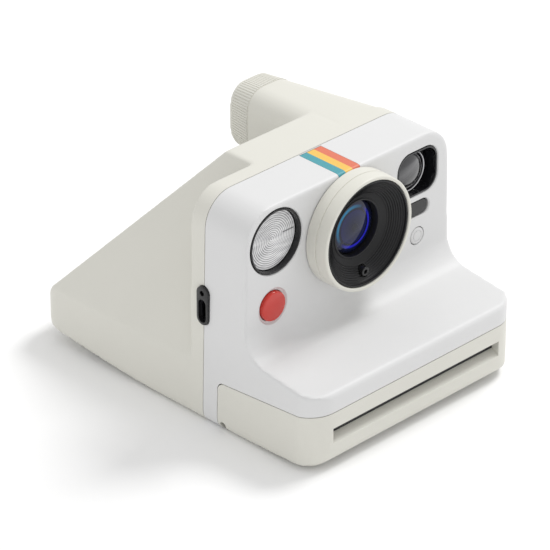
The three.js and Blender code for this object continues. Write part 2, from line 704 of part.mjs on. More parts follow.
function backControls() {
  for (const [name, x] of [["power", powerX], ["flash_mode", flashButtonX]]) {
    const under = -wall - gap; // inside of the shell
    const cap = slopePad(x, controlsDown, backButtonWidth, backButtonHeight, backPadRadius, under - 0.6, 0.5);
    const flange = slopePad(x, controlsDown, backButtonWidth + 2, backButtonHeight + 2, backPadRadius,
      under - 1.4, under);
    add(`${name}_button`, unite(cap, flange), acetal);
  }
  const domeTop = -wall - gap * 2 - 1.4 - buttonTravel;
  const domes = [powerX, flashButtonX].map((x) =>
    slopePad(x, controlsDown, 4, 4, 1, domeTop - 1.2, domeTop));
  add("switch_board", unite(slopePad(0, controlsDown, 36, 11, 1, domeTop - 2, domeTop - 1), ...domes), board);
  add("counter_display", slopePad(0, displayDown, displayWidth, displayHeight, backPadRadius - gap,
    -1.9, -0.1), glossBlack);
}

// film chamber and mirror box

const chamberRearY = chamberFrontY + chamberDepth;
const pickY = chamberRearY - 7; // hook that pushes a sheet forward out of the pack
const pickZ = chamberZ + 13;
const pickTravel = 8;
const armThickness = 1.4;
function filmChamber() {
  const top = chamberZ + chamberHeight;
  const shell = box(-chamberHalfWidth, chamberHalfWidth, chamberFrontY, chamberRearY, chamberZ, top);
  const pocket = box(-chamberHalfWidth + chamberWall, chamberHalfWidth - chamberWall, chamberFrontY - 1,
    chamberRearY - chamberWall, chamberZ + chamberWall, top - chamberWall);
  const imageRearY = chamberRearY - 3;
  const window = box(-imageHalfWidth, imageHalfWidth, imageRearY - 2 * imageHalfWidth, imageRearY,
    top - 3, top + 1);
  const lugs = screwPlaces.map(([x, y]) =>
    box(...span(Math.sign(x), chamberHalfWidth - 1, Math.abs(x) + 2.2), y - 3, y + 3,
      Math.max(chamberZ, undersideZ(y) + 4), 14));
  const holes = screwPlaces.map(([x, y]) => roundZ(1.2 + gap, 0, 15, x, y, 12));
  const pickSlot = box(-chamberHalfWidth - 1, -chamberHalfWidth + chamberWall + 1,
    pickY - 1.5 - pickTravel, pickY + 1.5, pickZ - 1.7, pickZ + 1.7);
  return cut(unite(shell, ...lugs), pocket, window, pickSlot, ...holes);
}

// Light-tight cone from the lens, over the mirror, down to the image window
function mirrorBox() {
  const foot = chamberZ + chamberHeight + gap;
  const rearY = chamberRearY - 2;
  const shape = (inset, drop) => {
    const half = imageHalfWidth + 1.6 - inset;
    const topHalf = 13.5 - inset;
    const slopeTop = bodyHeight - wall - 3 - inset;
    const setBack = (wall + backClearance + inset) / Math.sin(backAngle);
    const slopeY = (z) => ridgeY + (bodyHeight - z) / Math.tan(backAngle) - setBack;
    const kneeZ = bodyHeight - (rearY - inset + setBack - ridgeY) * Math.tan(backAngle);
    return hull([-1, 1].flatMap((side) => [
      [side * topHalf, seamY + 2 + inset, slopeTop],
      [side * topHalf, slopeY(slopeTop), slopeTop],
      [side * half, rearY - inset, Math.max(kneeZ, foot + 1)],
      [side * half, rearY - inset, foot - drop],
      [side * half, seamY - 8 + inset, foot - drop],
      [side * half, seamY - 8 + inset, foot + 8],
    ]));
  };
  const lensOpening = roundY(10, faceY, seamY + 16, 0, lensZ, 32);
  return cut(shape(0, 0), shape(1.5, 3), lensOpening);
}

function mirrorPlate() {
  const depth = wall + backClearance + 1.5 + gap * 2;
  const points = outline([[-13, 16, 1], [13, 16, 1], [34, 78, 1], [-34, 78, 1]]).reverse();
  const shape = new THREE.Shape(points);
  return fromSlope(new THREE.ExtrudeGeometry(shape, { depth: 1.2, bevelEnabled: false })
    .translate(0, 0, -depth - 1.2 - 0.6));
}

function innards() {
  add("film_chamber", filmChamber(), black);
  add("mirror_box", mirrorBox(), black);
  add("mirror", mirrorPlate(), mirrorFinish);
  add("main_board", box(26, 51, 47.3, 48.9, 30, 66), board);
  add("battery_cell", box(43, 51, 49.8, 61.5, 28, 62), wrap);
}

// film drive

function gearOutline(teeth, phase, y, z) {
  const pitchRadius = (gearModule * teeth) / 2;
  const step = (2 * Math.PI) / teeth;
  const at = (radius, angle) =>
    new THREE.Vector2(y + radius * Math.cos(angle), z + radius * Math.sin(angle));
  return Array.from({ length: teeth }, (_, k) => phase + k * step).flatMap((angle) => [
    at(pitchRadius - 0.65, angle - 0.24 * step),
    at(pitchRadius + 0.38, angle - 0.13 * step),
    at(pitchRadius + 0.38, angle + 0.13 * step),
    at(pitchRadius - 0.65, angle + 0.24 * step),
  ]);
}

// Tooth angle of a gear that meshes with another one lying at an angle from it
function meshedPhase(driver, teeth, angle) {
  const offset = ((angle - driver.phase) * driver.teeth) / (2 * Math.PI);
  return angle + Math.PI - ((0.5 - offset) * 2 * Math.PI) / teeth;
}

const pitchDistance = (a, b) => (gearModule * (a + b)) / 2;

function nextGear(driver, teeth, degrees) {
  const angle = THREE.MathUtils.degToRad(degrees);
  const reachTo = pitchDistance(driver.teeth, teeth);
  return {
    teeth,
    phase: meshedPhase(driver, teeth, angle),
    y: driver.y + reachTo * Math.cos(angle),
    z: driver.z + reachTo * Math.sin(angle),
  };
}

const rollerTeeth = 14;
const upperRollerZ = rollerNipZ + pitchDistance(rollerTeeth, rollerTeeth) / 2;
const upperGear = { teeth: rollerTeeth, phase: 0, y: rollerY, z: upperRollerZ };
const lowerGear = nextGear(upperGear, rollerTeeth, -90);
const driveGear = nextGear(upperGear, 20, 30);
const middleGear = nextGear(driveGear, 14, 24);
const motorGear = nextGear(middleGear, 10, 30);

const gearSolid = (gear) =>
  prismX(gearOutline(gear.teeth, gear.phase, gear.y, gear.z), gearX, gearX + gearWidth);

const shaftRadius = 1.5;
const axleRadius = 0.8;
function rollers() {
  const frameX = rollerHalfLength + 0.8;
  for (const [name, gear] of [["upper", upperGear], ["lower", lowerGear]]) {
    const barrel = roundX(rollerRadius, -rollerHalfLength, rollerHalfLength, gear.y, gear.z, 24);
    const shaft = roundX(shaftRadius, -frameX - 2.2, gearX + 0.5, gear.y, gear.z, 12);
    add(`${name}_roller`, unite(barrel, shaft), steel);
    const bore = roundX(shaftRadius + gap, gearX + 0.5 - gearWidth, gearX + 0.5 + gap, gear.y, gear.z, 12);
    add(`${name}_roller_gear`, cut(gearSolid(gear), bore), acetal);
  }
  const low = lowerGear.z - 5.2;
  const high = upperGear.z + 4;
  const cheek = (x0, x1) => box(x0, x1, rollerY - 5, rollerY + 5, low, high);
  const sill = box(-frameX - 1.6, frameX + 1.6, rollerY - 5, rollerY + 5, low, low + 1.2);
  const bearings = [upperGear, lowerGear].map((gear) =>
    roundX(shaftRadius + gap, -reach, reach, gear.y, gear.z, 12));
  const frame = unite(cheek(-frameX - 1.6, -frameX), cheek(frameX, frameX + 1.6), sill);
  add("roller_frame", cut(frame, ...bearings), steel);
}

function drive() {
  const train = [["drive_gear", driveGear, acetal], ["middle_gear", middleGear, acetal],
    ["motor_pinion", motorGear, brass]];
  for (const [name, gear, material] of train) {
    const hole = roundX(axleRadius + gap, gearX - 1, gearX + gearWidth + 1, gear.y, gear.z, 12);
    add(name, cut(gearSolid(gear), hole), material);
  }
  const carrierX = gearX - gap - 1;
  const axles = [driveGear, middleGear].map((gear) =>
    roundX(axleRadius, carrierX, gearX + gearWidth + 0.1, gear.y, gear.z, 10));
  const link = plateX([
    [driveGear.y - 2, driveGear.z - 2, 1],
    [middleGear.y + 2, middleGear.z - 2, 1],
    [middleGear.y + 2, middleGear.z + 2, 1],
    [driveGear.y - 2, driveGear.z + 2, 1],
  ], carrierX, carrierX + 1);
  add("gear_carrier", unite(link, ...axles), steel);
  const can = roundX(5, 27, carrierX - 1, motorGear.y, motorGear.z, 20);
  const shaft = roundX(axleRadius, carrierX - 2, gearX + gearWidth + 0.4, motorGear.y, motorGear.z, 12);
  add("drive_motor", unite(can, shaft), steel);
  const armX = -chamberHalfWidth - gap - armThickness;
  add("pick_arm", unite(
    box(armX, armX + armThickness, pickY - 40, pickY + 1, pickZ - 1.5, pickZ + 1.5),
    box(armX, -chamberHalfWidth + chamberWall + 1.5, pickY - 1, pickY + 1, pickZ - 1.2, pickZ + 1.2)), steel);
}

// door latch

function latch() {
  const pad = box(latchSide - 1, latchSide - 0.1, latchY - 6, latchY + 6, latchZ - 3, latchZ + 3);
  const grooves = [-3.6, -1.2, 1.2, 3.6].map((shift) => {
    const y = latchY + shift;
    return box(latchSide - 0.5, latchSide + 1, y - 0.5, y + 0.5, latchZ - 4, latchZ + 4);
  });
  const neck = box(latchSide - wall - 0.9, latchSide - 0.6, latchY - 3, latchY + 3,
    latchZ - 1.1, latchZ + 1.1);
  const tongue = box(latchSide - wall - 1.2, latchSide - wall - gap, latchY - 5, latchY + 5,
    latchZ - 2.4, latchZ + 3);
  add("door_latch", unite(cut(pad, ...grooves), neck, tongue), cream);
}

shells();
lens();
flash();
faceControls();
viewfinder();
chargingPort();
backControls();
innards();
rollers();
drive();
latch();

export default camera;
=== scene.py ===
# Instant film camera: smooth mouldings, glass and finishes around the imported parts
import bmesh
import bpy
import math
from mathutils import Matrix, Vector


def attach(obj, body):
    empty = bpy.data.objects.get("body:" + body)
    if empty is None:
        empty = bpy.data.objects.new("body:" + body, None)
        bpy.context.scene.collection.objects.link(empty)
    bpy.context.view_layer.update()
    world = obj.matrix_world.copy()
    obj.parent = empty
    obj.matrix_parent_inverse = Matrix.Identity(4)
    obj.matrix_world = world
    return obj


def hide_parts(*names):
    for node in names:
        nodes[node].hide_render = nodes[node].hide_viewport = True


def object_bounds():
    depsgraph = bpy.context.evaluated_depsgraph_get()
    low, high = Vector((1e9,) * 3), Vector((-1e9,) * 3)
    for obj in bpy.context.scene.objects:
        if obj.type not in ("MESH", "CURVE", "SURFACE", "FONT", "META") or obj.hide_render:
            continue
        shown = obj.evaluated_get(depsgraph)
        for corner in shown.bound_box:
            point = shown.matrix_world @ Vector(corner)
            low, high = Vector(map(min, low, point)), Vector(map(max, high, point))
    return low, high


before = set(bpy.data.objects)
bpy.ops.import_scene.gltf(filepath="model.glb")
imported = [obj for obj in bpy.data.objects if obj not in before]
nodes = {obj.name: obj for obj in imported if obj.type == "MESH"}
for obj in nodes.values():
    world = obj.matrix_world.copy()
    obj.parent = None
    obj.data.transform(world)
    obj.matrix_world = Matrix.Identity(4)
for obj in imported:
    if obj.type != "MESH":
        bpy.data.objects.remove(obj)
cadLow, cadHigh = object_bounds()
mm = 0.001

bodySet = dict(
    width=112.2, length=150.2, height=95.2, wall=2.2, gap=0.3, draft=2.4,
    planRadius=11.2, baseRadius=4.5, shoulder=13, faceY=36.5, topDrop=0.3,
    deckRear=36.8, deckFront=32.3, deckFillet=11, seamY=58, collar=7.5, ridgeY=79.5,
    ridgeHalf=22.3, rearWall=16.5, rearLean=1.6, frontRise=2.6, rearRise=6,
    landing=(42, 82), flankFoot=24.2, voxel=0.75, soften=5, footHeight=9, footSoften=30,
)
middleY = (cadLow.y + cadHigh.y) / 2 / mm - bodySet["length"] / 2


def at(x, y, z):  # millimetres, with y counted back from the front of the hood
    return Vector((x, y + middleY, z)) * mm


def keep(name, bm, smooth=35):
    bmesh.ops.remove_doubles(bm, verts=bm.verts, dist=1e-7)
    bmesh.ops.recalc_face_normals(bm, faces=bm.faces)
    mesh = bpy.data.meshes.new(name)
    bm.to_mesh(mesh)
    bm.free()
    made = bpy.data.objects.new(name, mesh)
    bpy.context.scene.collection.objects.link(made)
    return shade(made, smooth)


def shade(made, smooth=35):
    made.data.shade_smooth()
    made.data.set_sharp_from_angle(angle=math.radians(smooth))
    return made


def roundedFace(bm, corners, lift, steps=8, inset=0.0):  # corners (a, b, radius)
    verts = [bm.verts.new(lift(a, b)) for a, b, radius in corners]
    face = bm.faces.new(verts)
    for k, (a, b, radius) in enumerate(corners):
        if radius:
            here = Vector((a, b))
            before = (Vector(corners[k - 1][:2]) - here).normalized()
            after = (Vector(corners[(k + 1) % len(corners)][:2]) - here).normalized()
            half = before.angle(after) / 2
            bmesh.ops.bevel(bm, geom=[verts[k]], offset=radius * mm / math.tan(half),
                            offset_type="OFFSET", segments=steps, profile=0.5,
                            affect="VERTICES", material=-1, clamp_overlap=False)
    face = bm.faces[:][0]
    if inset:
        border = bmesh.ops.inset_region(bm, faces=[face], thickness=inset * mm, use_even_offset=True,
                                        use_boundary=True)
        bmesh.ops.delete(bm, geom=border["faces"], context="FACES")
        face = bm.faces[:][0]
    return face


def slab(name, corners, lift, push, steps=8, inset=0.0):
    bm = bmesh.new()
    face = roundedFace(bm, corners, lift, steps, inset)
    grown = bmesh.ops.extrude_face_region(bm, geom=[face])
    bmesh.ops.translate(bm, vec=push, verts=[g for g in grown["geom"] if isinstance(g, bmesh.types.BMVert)])
    return keep(name, bm)


def slabX(name, corners, x0, x1, steps=8, inset=0.0):
    return slab(name, corners, lambda a, b: at(x0, a, b), Vector(((x1 - x0) * mm, 0, 0)), steps, inset)


def slabY(name, corners, y0, y1, steps=8, inset=0.0):
    return slab(name, corners, lambda a, b: at(a, y0, b), Vector((0, (y1 - y0) * mm, 0)), steps, inset)


def slabZ(name, corners, z0, z1, steps=8, inset=0.0):
    return slab(name, corners, lambda a, b: at(a, b, z0), Vector((0, 0, (z1 - z0) * mm)), steps, inset)


def rect(a, b, width, height, radius=0.0):
    return [(a + i * width / 2, b + j * height / 2, radius) for i, j in ((-1, -1), (1, -1), (1, 1), (-1, 1))]


def box(name, x0, x1, y0, y1, z0, z1):
    return slabZ(name, rect((x0 + x1) / 2, (y0 + y1) / 2, x1 - x0, y1 - y0), z0, z1)


# Profile corners (radius, y, rounding) turned about a line along y through x and z
def turned(name, profile, x, z, sides=96, smooth=35):
    bm = bmesh.new()
    face = roundedFace(bm, profile, lambda r, y: at(r, y, 0), 4)
    bmesh.ops.delete(bm, geom=[face], context="FACES_ONLY")
    onAxis = [e for e in bm.edges if all(abs(v.co.x) < 1e-9 for v in e.verts)]
    if onAxis:
        bmesh.ops.delete(bm, geom=onAxis, context="EDGES")
    bmesh.ops.spin(bm, geom=bm.verts[:] + bm.edges[:], cent=(0, 0, 0), axis=(0, 1, 0),
                   angle=2 * math.pi, steps=sides, use_merge=True)
    bmesh.ops.translate(bm, vec=(x * mm, 0, z * mm), verts=bm.verts)
    return keep(name, bm, smooth)


def settle(made):  # the mesh as its modifiers leave it
    graph = bpy.context.evaluated_depsgraph_get()
    mesh = bpy.data.meshes.new_from_object(made.evaluated_get(graph))
    made.modifiers.clear()
    made.data = mesh


def combine(base, how, *tools):
    for tool in tools:
        change = base.modifiers.new(how, "BOOLEAN")
        change.operation = how
        change.solver = "MANIFOLD"
        change.object = tool
        settle(base)
        bpy.data.objects.remove(tool)
    return base


def twin(made, name):
    copied = bpy.data.objects.new(name, made.data.copy())
    bpy.context.scene.collection.objects.link(copied)
    return copied


def cylinderY(name, radius, y0, y1, x, z, sides=64):
    return turned(name, [(0, y0, 0), (radius, y0, 0), (radius, y1, 0), (0, y1, 0)], x, z, sides)


def cylinderX(name, radius, x0, x1, y, z, sides=32):
    bm = bmesh.new()
    turn = Matrix.Translation(at((x0 + x1) / 2, y, z)) @ Matrix.Rotation(math.pi / 2, 4, "Y")
    bmesh.ops.create_cone(bm, cap_ends=True, segments=sides, radius1=radius * mm, radius2=radius * mm,
                          depth=(x1 - x0) * mm, matrix=turn)
    return keep(name, bm)


def cylinderZ(name, radius, z0, z1, x, y):
    bm = bmesh.new()
    bmesh.ops.create_cone(bm, cap_ends=True, segments=32, radius1=radius * mm, radius2=radius * mm,
                          depth=(z1 - z0) * mm, matrix=Matrix.Translation(at(x, y, (z0 + z1) / 2)))
    return keep(name, bm)


class Signal:  # a node's output; arithmetic on it adds Math nodes
    def __init__(self, finish, socket):
        self.finish = finish
        self.socket = socket

    def math(self, operation, *others):
        return self.finish.add("Math", dict(operation=operation), dict(enumerate((self,) + others)))

    def __add__(self, other):
        return self.math("ADD", other)

    def __sub__(self, other):
        return self.math("SUBTRACT", other)

    def __rsub__(self, other):
        return self.finish.add("Math", dict(operation="SUBTRACT"), {0: other, 1: self})

    def __mul__(self, other):
        return self.math("MULTIPLY", other)

    def __truediv__(self, other):
        return self.math("DIVIDE", other)

    __radd__ = __add__
    __rmul__ = __mul__

    def above(self, edge, width):  # 0 below the edge, 1 above it
        return ((self - edge) / width + 0.5).math("MAXIMUM", 0.0).math("MINIMUM", 1.0)


class Finish:  # one material; add() makes any node from its type, settings and inputs
    def __init__(self, name, **values):
        self.material = bpy.data.materials.new(name)
        self.material.use_nodes = True
        self.tree = self.material.node_tree
        self.shader = self.tree.nodes["Principled BSDF"]
        self.set(**values)

    def feed(self, socket, value):
        if isinstance(value, Signal):
            self.tree.links.new(value.socket, socket)
        elif socket.type == "RGBA" and len(value) == 3:
            socket.default_value = (*value, 1)
        else:
            socket.default_value = value

    def add(self, kind, settings=None, inputs=None, output=0):
        node = self.tree.nodes.new("ShaderNode" + kind)
        for key, value in (settings or {}).items():
            if key == "stops":
                ramp = node.color_ramp.elements
                while len(ramp) < len(value):
                    ramp.new(0.5)
                for stop, (share, tone) in zip(ramp, value):
                    stop.position = share
                    stop.color = (*tone, 1)
            elif key == "interpolation":
                node.color_ramp.interpolation = value
            else:
                setattr(node, key, value)
        for key, value in (inputs or {}).items():
            self.feed(node.inputs[key], value)
        return Signal(self, node.outputs[output])

    def set(self, **values):  # baseColor=..., roughness=... on the shader's own sockets
        for key, value in values.items():
            words = "".join(" " + c if c.isupper() else c for c in key)
            title = " ".join(w.capitalize() for w in words.split()).replace("Ior", "IOR")
            self.feed(self.shader.inputs[title], value)
        return self

    def where(self):  # the place on the object
        return self.add("TexCoord", output="Object")

    def noise(self, scale, detail=3.0, stretch=None):
        source = self.where()
        if stretch:
            source = self.add("Mapping", None, {"Vector": source, "Scale": stretch})
        return self.add("TexNoise", None, {"Vector": source, "Scale": scale, "Detail": detail})

    def axis(self, letter):
        return self.add("SeparateXYZ", None, {0: self.where()}, "XYZ".index(letter))

    def blend(self, factor, first, second):
        return self.add("Mix", dict(data_type="RGBA"), {0: factor, 6: first, 7: second}, 2)

    def bump(self, height, distance, strength=1.0):
        normal = self.add("Bump", None, {"Height": height, "Distance": distance, "Strength": strength})
        return self.set(normal=normal)


def moulded(name, tone, darker, rough, grain=0.00004, specular=0.4):  # fine spark-eroded plastic
    f = Finish(name, specularIorLevel=specular)
    cloud = f.noise(45.0)
    speckle = f.noise(2600.0, 2.0)
    f.set(baseColor=f.blend(cloud.above(0.5, 0.5) * 0.5 + speckle * 0.25, tone, darker))
    f.set(roughness=speckle * 0.1 + cloud * 0.05 + (rough - 0.07))
    return f.bump(speckle + f.noise(900.0, 2.0) * 0.6, grain, 0.35)


def metal(name, tone, darker, rough, stretch):
    f = Finish(name, metallic=1.0)
    brushed = f.noise(900.0, 4.0, stretch)
    f.set(baseColor=f.blend(brushed, tone, darker), roughness=brushed * 0.2 + rough)
    return f.bump(brushed, 0.00002, 0.3)


def bandPrint(name, bandHalf, tones):  # printed stripes across x
    f = Finish(name, specularIorLevel=0.4)
    across = f.axis("X") / (2 * bandHalf * mm) + 0.5
    count = len(tones)
    stops = [(k / count, tone) for k, tone in enumerate(tones)]
    stripes = f.add("ValToRGB", dict(stops=stops, interpolation="CONSTANT"), {0: across})
    ink = f.noise(1800.0, 2.0)
    f.set(baseColor=f.blend(ink * 0.12, stripes, (0.9, 0.9, 0.88)), roughness=ink * 0.1 + 0.38)
    return f.bump(ink, 0.00003, 0.3)


def gloss(name, tone, rough, coat=0.0, other=None):
    f = Finish(name, specularIorLevel=0.5, coatWeight=coat, coatRoughness=0.05)
    smear = f.noise(70.0, 4.0)
    f.set(baseColor=f.blend(smear, tone, other or tuple(c * 0.8 for c in tone)))
    f.set(roughness=smear.above(0.55, 0.3) * 0.06 + rough)
    return f.bump(f.noise(500.0, 2.0), 0.00002, 0.12)


def clear(name, tone, rough=0.03, ior=1.49):
    f = Finish(name, transmissionWeight=1.0, ior=ior)
    smear = f.noise(60.0, 3.0)
    return f.set(baseColor=f.blend(smear * 0.3, tone, tuple(c * 0.92 for c in tone)),
                 roughness=smear.above(0.6, 0.3) * 0.03 + rough)


looks = dict(
    white=moulded("whiteMoulding", (0.73, 0.73, 0.73), (0.70, 0.70, 0.70), 0.46),
    cream=moulded("creamMoulding", (0.72, 0.71, 0.65), (0.69, 0.68, 0.62), 0.50),
    button=moulded("buttonMoulding", (0.70, 0.70, 0.70), (0.66, 0.66, 0.66), 0.4),
    ringCream=moulded("ringMoulding", (0.74, 0.73, 0.665), (0.71, 0.70, 0.635), 0.36),
    black=moulded("blackMoulding", (0.011, 0.011, 0.012), (0.007, 0.007, 0.008), 0.46, 0.00005, 0.35),
    satin=moulded("satinBlack", (0.012, 0.012, 0.013), (0.008, 0.008, 0.009), 0.28, 0.00002, 0.5),
    gloss=gloss("glossBlack", (0.010, 0.010, 0.012), 0.07, 0.3),
    red=gloss("redButton", (0.62, 0.026, 0.014), 0.14, 0.35, (0.54, 0.022, 0.012)),
    window=gloss("windowBlack", (0.004, 0.004, 0.005), 0.04, 0.15),
    glass=clear("finderGlass", (0.86, 0.88, 0.90)),
    acrylic=clear("clearAcrylic", (0.97, 0.98, 0.98), 0.05),
    darkSteel=metal("socketSteel", (0.10, 0.10, 0.11), (0.06, 0.06, 0.07), 0.3, (1, 8, 8)),
    steel=metal("brushedSteel", (0.62, 0.62, 0.63), (0.48, 0.48, 0.50), 0.24, (1, 8, 8)),
    brass=metal("turnedBrass", (0.72, 0.53, 0.22), (0.60, 0.42, 0.16), 0.25, (8, 1, 1)),
    silvered=metal("silvered", (0.93, 0.94, 0.95), (0.88, 0.89, 0.90), 0.04, (2, 2, 2)),
    acetal=moulded("acetal", (0.80, 0.79, 0.74), (0.75, 0.74, 0.69), 0.35),
    board=moulded("solderMask", (0.02, 0.14, 0.06), (0.015, 0.10, 0.045), 0.3, 0.00006),
    wrap=gloss("shrinkWrap", (0.03, 0.07, 0.25), 0.2),
    band=bandPrint("bandPrint", 5.6, [(0.02, 0.30, 0.36), (0.84, 0.50, 0.06), (0.70, 0.14, 0.06)]),
)
print("finishes", len(looks))


def place(made, body, finish, slotName, *replaced):
    made.data.materials.clear()
    made.data.materials.append(finish.material)
    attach(made, body)
    if replaced:
        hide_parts(*replaced)


topHalf = bodySet["width"] / 2 - bodySet["draft"]
baseHalf = bodySet["width"] / 2 + bodySet["draft"] * bodySet["baseRadius"] / bodySet["height"]
flankX = bodySet["width"] / 2 - bodySet["draft"] * bodySet["flankFoot"] / bodySet["height"]
tubeSet = dict(rearY=117.5, left=16.4, width=22.6, height=28.5, radius=8.5, lowRadius=10.5, rootDrop=36,
               gripLength=8.5, gripPitch=1.15, gripHeight=0.26, eyeInset=4.2)
doorSet = dict(rearY=50.2, rearZ=20.5, frontZ=24.2, corner=3.2, pivotY=47.6, pivotZ=2.9, knuckle=2.5,
               knuckleHalf=1.6, pin=1.2,
               slotHalf=45.1, slotTop=17.6, slotHeight=6.1, slotDepth=6.5,
               rampDepth=3.3, rampSlope=0.55)
wide = 90  # further than the body reaches from its middle
tubeRootY = bodySet["seamY"] + bodySet["collar"] / 2


def loftY(name, *stations):  # rounded outlines of x and z, each at its own y, bridged in turn
    bm = bmesh.new()
    loops = []
    for y, corners, inset in stations:
        part = bmesh.new()
        roundedFace(part, corners, lambda a, b: at(a, y, b), 8, inset)
        bmesh.ops.delete(part, geom=part.faces[:], context="FACES_ONLY")
        mesh = bpy.data.meshes.new("loop")
        part.to_mesh(mesh)
        part.free()
        known = set(bm.edges)
        bm.from_mesh(mesh)
        bpy.data.meshes.remove(mesh)
        loops.append([e for e in bm.edges if e not in known])
    for first, second in zip(loops, loops[1:]):
        bmesh.ops.bridge_loops(bm, edges=first + second)
    for loop in (loops[0], loops[-1]):
        bmesh.ops.contextual_create(bm, geom=loop)
    return keep(name, bm)


def tubeCorners(left, right, low, high, radius, shoulder, lowLeft):
    return [(left, low, lowLeft), (right, low, radius), (right, high, shoulder), (left, high, radius)]


def tubeEnd():
    s, high = tubeSet, bodySet["height"]
    return tubeCorners(s["left"], s["left"] + s["width"], high - s["height"], high, s["radius"], s["radius"],
                       s["lowRadius"])


def tubeRoot():
    s, high = tubeSet, bodySet["height"]
    return tubeCorners(s["left"], topHalf, high - s["rootDrop"], high, s["radius"], bodySet["shoulder"],
                       s["lowRadius"])


def tubeSolid(name, inset):
    return loftY(name, (tubeRootY - inset, tubeRoot(), inset), (tubeSet["rearY"] - inset, tubeEnd(), inset))


def bodySolid(name, inset):
    s = bodySet
    side = [
        (0, s["frontRise"], s["baseRadius"]), (s["landing"][0], 0, 0), (s["landing"][1], 0, 0),
        (s["length"] - s["rearLean"], s["rearRise"], s["baseRadius"]), (s["length"], s["rearWall"], 2.5),
        (s["ridgeY"], s["height"], 1), (s["faceY"], s["height"], 0),
        (s["faceY"], s["deckRear"], s["deckFillet"]), (0, s["deckFront"], 2),
    ]
    full = [(-baseHalf, 0, s["baseRadius"]), (baseHalf, 0, s["baseRadius"]),
            (topHalf, s["height"], s["shoulder"]), (-topHalf, s["height"], s["shoulder"])]
    flank = full[:2] + [(flankX, s["flankFoot"], 0), (s["ridgeHalf"], s["height"], 0),
                        (-s["ridgeHalf"], s["height"], 0), (-flankX, s["flankFoot"], 0)]
    collarRear = s["seamY"] + s["collar"] - inset
    body = slabY(name, full, -10, collarRear, 12, inset)
    rear = slabY("rearPrism", flank, collarRear - s["collar"] / 2, s["length"] + 10, 8, inset)
    combine(body, "UNION", rear)
    combine(body, "INTERSECT", slabX("sidePrism", side, -wide, wide, 12, inset))
    combine(body, "INTERSECT", slabZ("planPrism", rect(0, s["length"] / 2, s["width"], s["length"],
                                                      s["planRadius"]), -10, 120, 12, inset))
    return combine(body, "UNION", tubeSolid("tube", inset))


def smoothBody():
    body = bodySolid("bodyForm", 0.0)
    voxels = body.modifiers.new("voxels", "REMESH")
    voxels.mode = "VOXEL"
    voxels.voxel_size = bodySet["voxel"] * mm
    settle(body)
    foot = body.vertex_groups.new(name="foot")
    foot.add([v.index for v in body.data.vertices if v.co.z < bodySet["footHeight"] * mm], 1.0, "REPLACE")
    for group, rounds in (("", bodySet["soften"]), ("foot", bodySet["footSoften"])):
        soften = body.modifiers.new("soften", "SMOOTH")
        soften.factor = 0.5
        soften.iterations = rounds
        soften.vertex_group = group
    settle(body)
    seam, face = at(0, bodySet["seamY"], 0).y, at(0, bodySet["faceY"], 0).y
    for v in body.data.vertices:  # the top falls a little from the seam to the face
        along = min(max((seam - v.co.y) / (seam - face), 0), 1)
        up = min(max((v.co.z / mm - 60) / (bodySet["height"] - 60), 0), 1)
        v.co.z -= bodySet["topDrop"] * mm * along * up
    return body


def doorRegion(name, grow):
    s, clear = doorSet, 30  # clear of the hood and the floor
    slope = (s["frontZ"] - s["rearZ"]) / s["rearY"]
    rearY = s["rearY"] + grow
    corners = [(-clear, -clear, 0), (rearY, -clear, 0), (rearY, s["rearZ"] + grow, s["corner"]),
               (-clear, s["frontZ"] + slope * clear + grow, 0)]
    return slabX(name, corners, -wide, wide)


slopeTilt = math.atan2(bodySet["height"] - bodySet["rearWall"], bodySet["length"] - bodySet["ridgeY"])


# A pad on the sloping back, from low to high along its normal
def slopePad(name, x, down, width, height, radius, low, high, edge=0.0):
    bm = bmesh.new()
    face = roundedFace(bm, rect(x, down, width, height, radius), lambda a, b: Vector((a, b, low)) * mm)
    grown = bmesh.ops.extrude_face_region(bm, geom=[face])
    top = [g for g in grown["geom"] if isinstance(g, bmesh.types.BMVert)]
    bmesh.ops.translate(bm, vec=(0, 0, (high - low) * mm), verts=top)
    if edge:
        rim = [e for e in bm.edges if all(v in top for v in e.verts)]
        bmesh.ops.bevel(bm, geom=rim, offset=edge * mm, offset_type="OFFSET", segments=3, profile=0.5,
                        affect="EDGES", material=-1, clamp_overlap=True)
    ridge = Matrix.Translation(at(0, bodySet["ridgeY"], bodySet["height"]))
    bmesh.ops.transform(bm, matrix=ridge @ Matrix.Rotation(-slopeTilt, 4, "X"), verts=bm.verts)
    return keep(name, bm)


faceY, wall, gap = bodySet["faceY"], bodySet["wall"], bodySet["gap"]
faceSet = dict(
    lens=(0, 71.6, 21), flash=(-38.4, 79.4, 13.3), shutter=(-40.2, 52.9, 6), timer=(37.4, 52.4, 3.5),
    finder=(37.3, 79.6, 22, 19.4, 6.5), sensor=(37.3, 64, 13, 6.8, 3.35), band=5.6, bandFoot=92.2,
    port=(58.2, 50.4, 6.4, 16.6, 3.15), lip=0.45,
)


def holeTool(name, x, z, radius, lip):  # round hole in the face with a small lip
    return turned(name, [(0, faceY - 2, 0), (radius + lip + 2, faceY - 2, 0), (radius, faceY + lip, 0.3),
                         (radius, faceY + 9, 0), (0, faceY + 9, 0)], x, z)


def windowTool(name, x, z, width, height, radius, lip):
    spread = lip + 2
    return loftY(name, (faceY - 2, rect(x, z, width + 2 * spread, height + 2 * spread, radius + spread), 0),
                 (faceY + lip, rect(x, z, width, height, radius), 0),
                 (faceY + 9, rect(x, z, width, height, radius), 0))


def pillX(name, spec, shrink, x0, x1):
    y, z, width, height, radius = spec
    return slabX(name, rect(y, z, width - 2 * shrink, height - 2 * shrink, radius - shrink), x0, x1, 10)


seamY = bodySet["seamY"]
halfWidth = bodySet["width"] / 2
bodyForm = smoothBody()
cavity = bodySolid("cavity", wall)
print("body form", len(bodyForm.data.polygons))

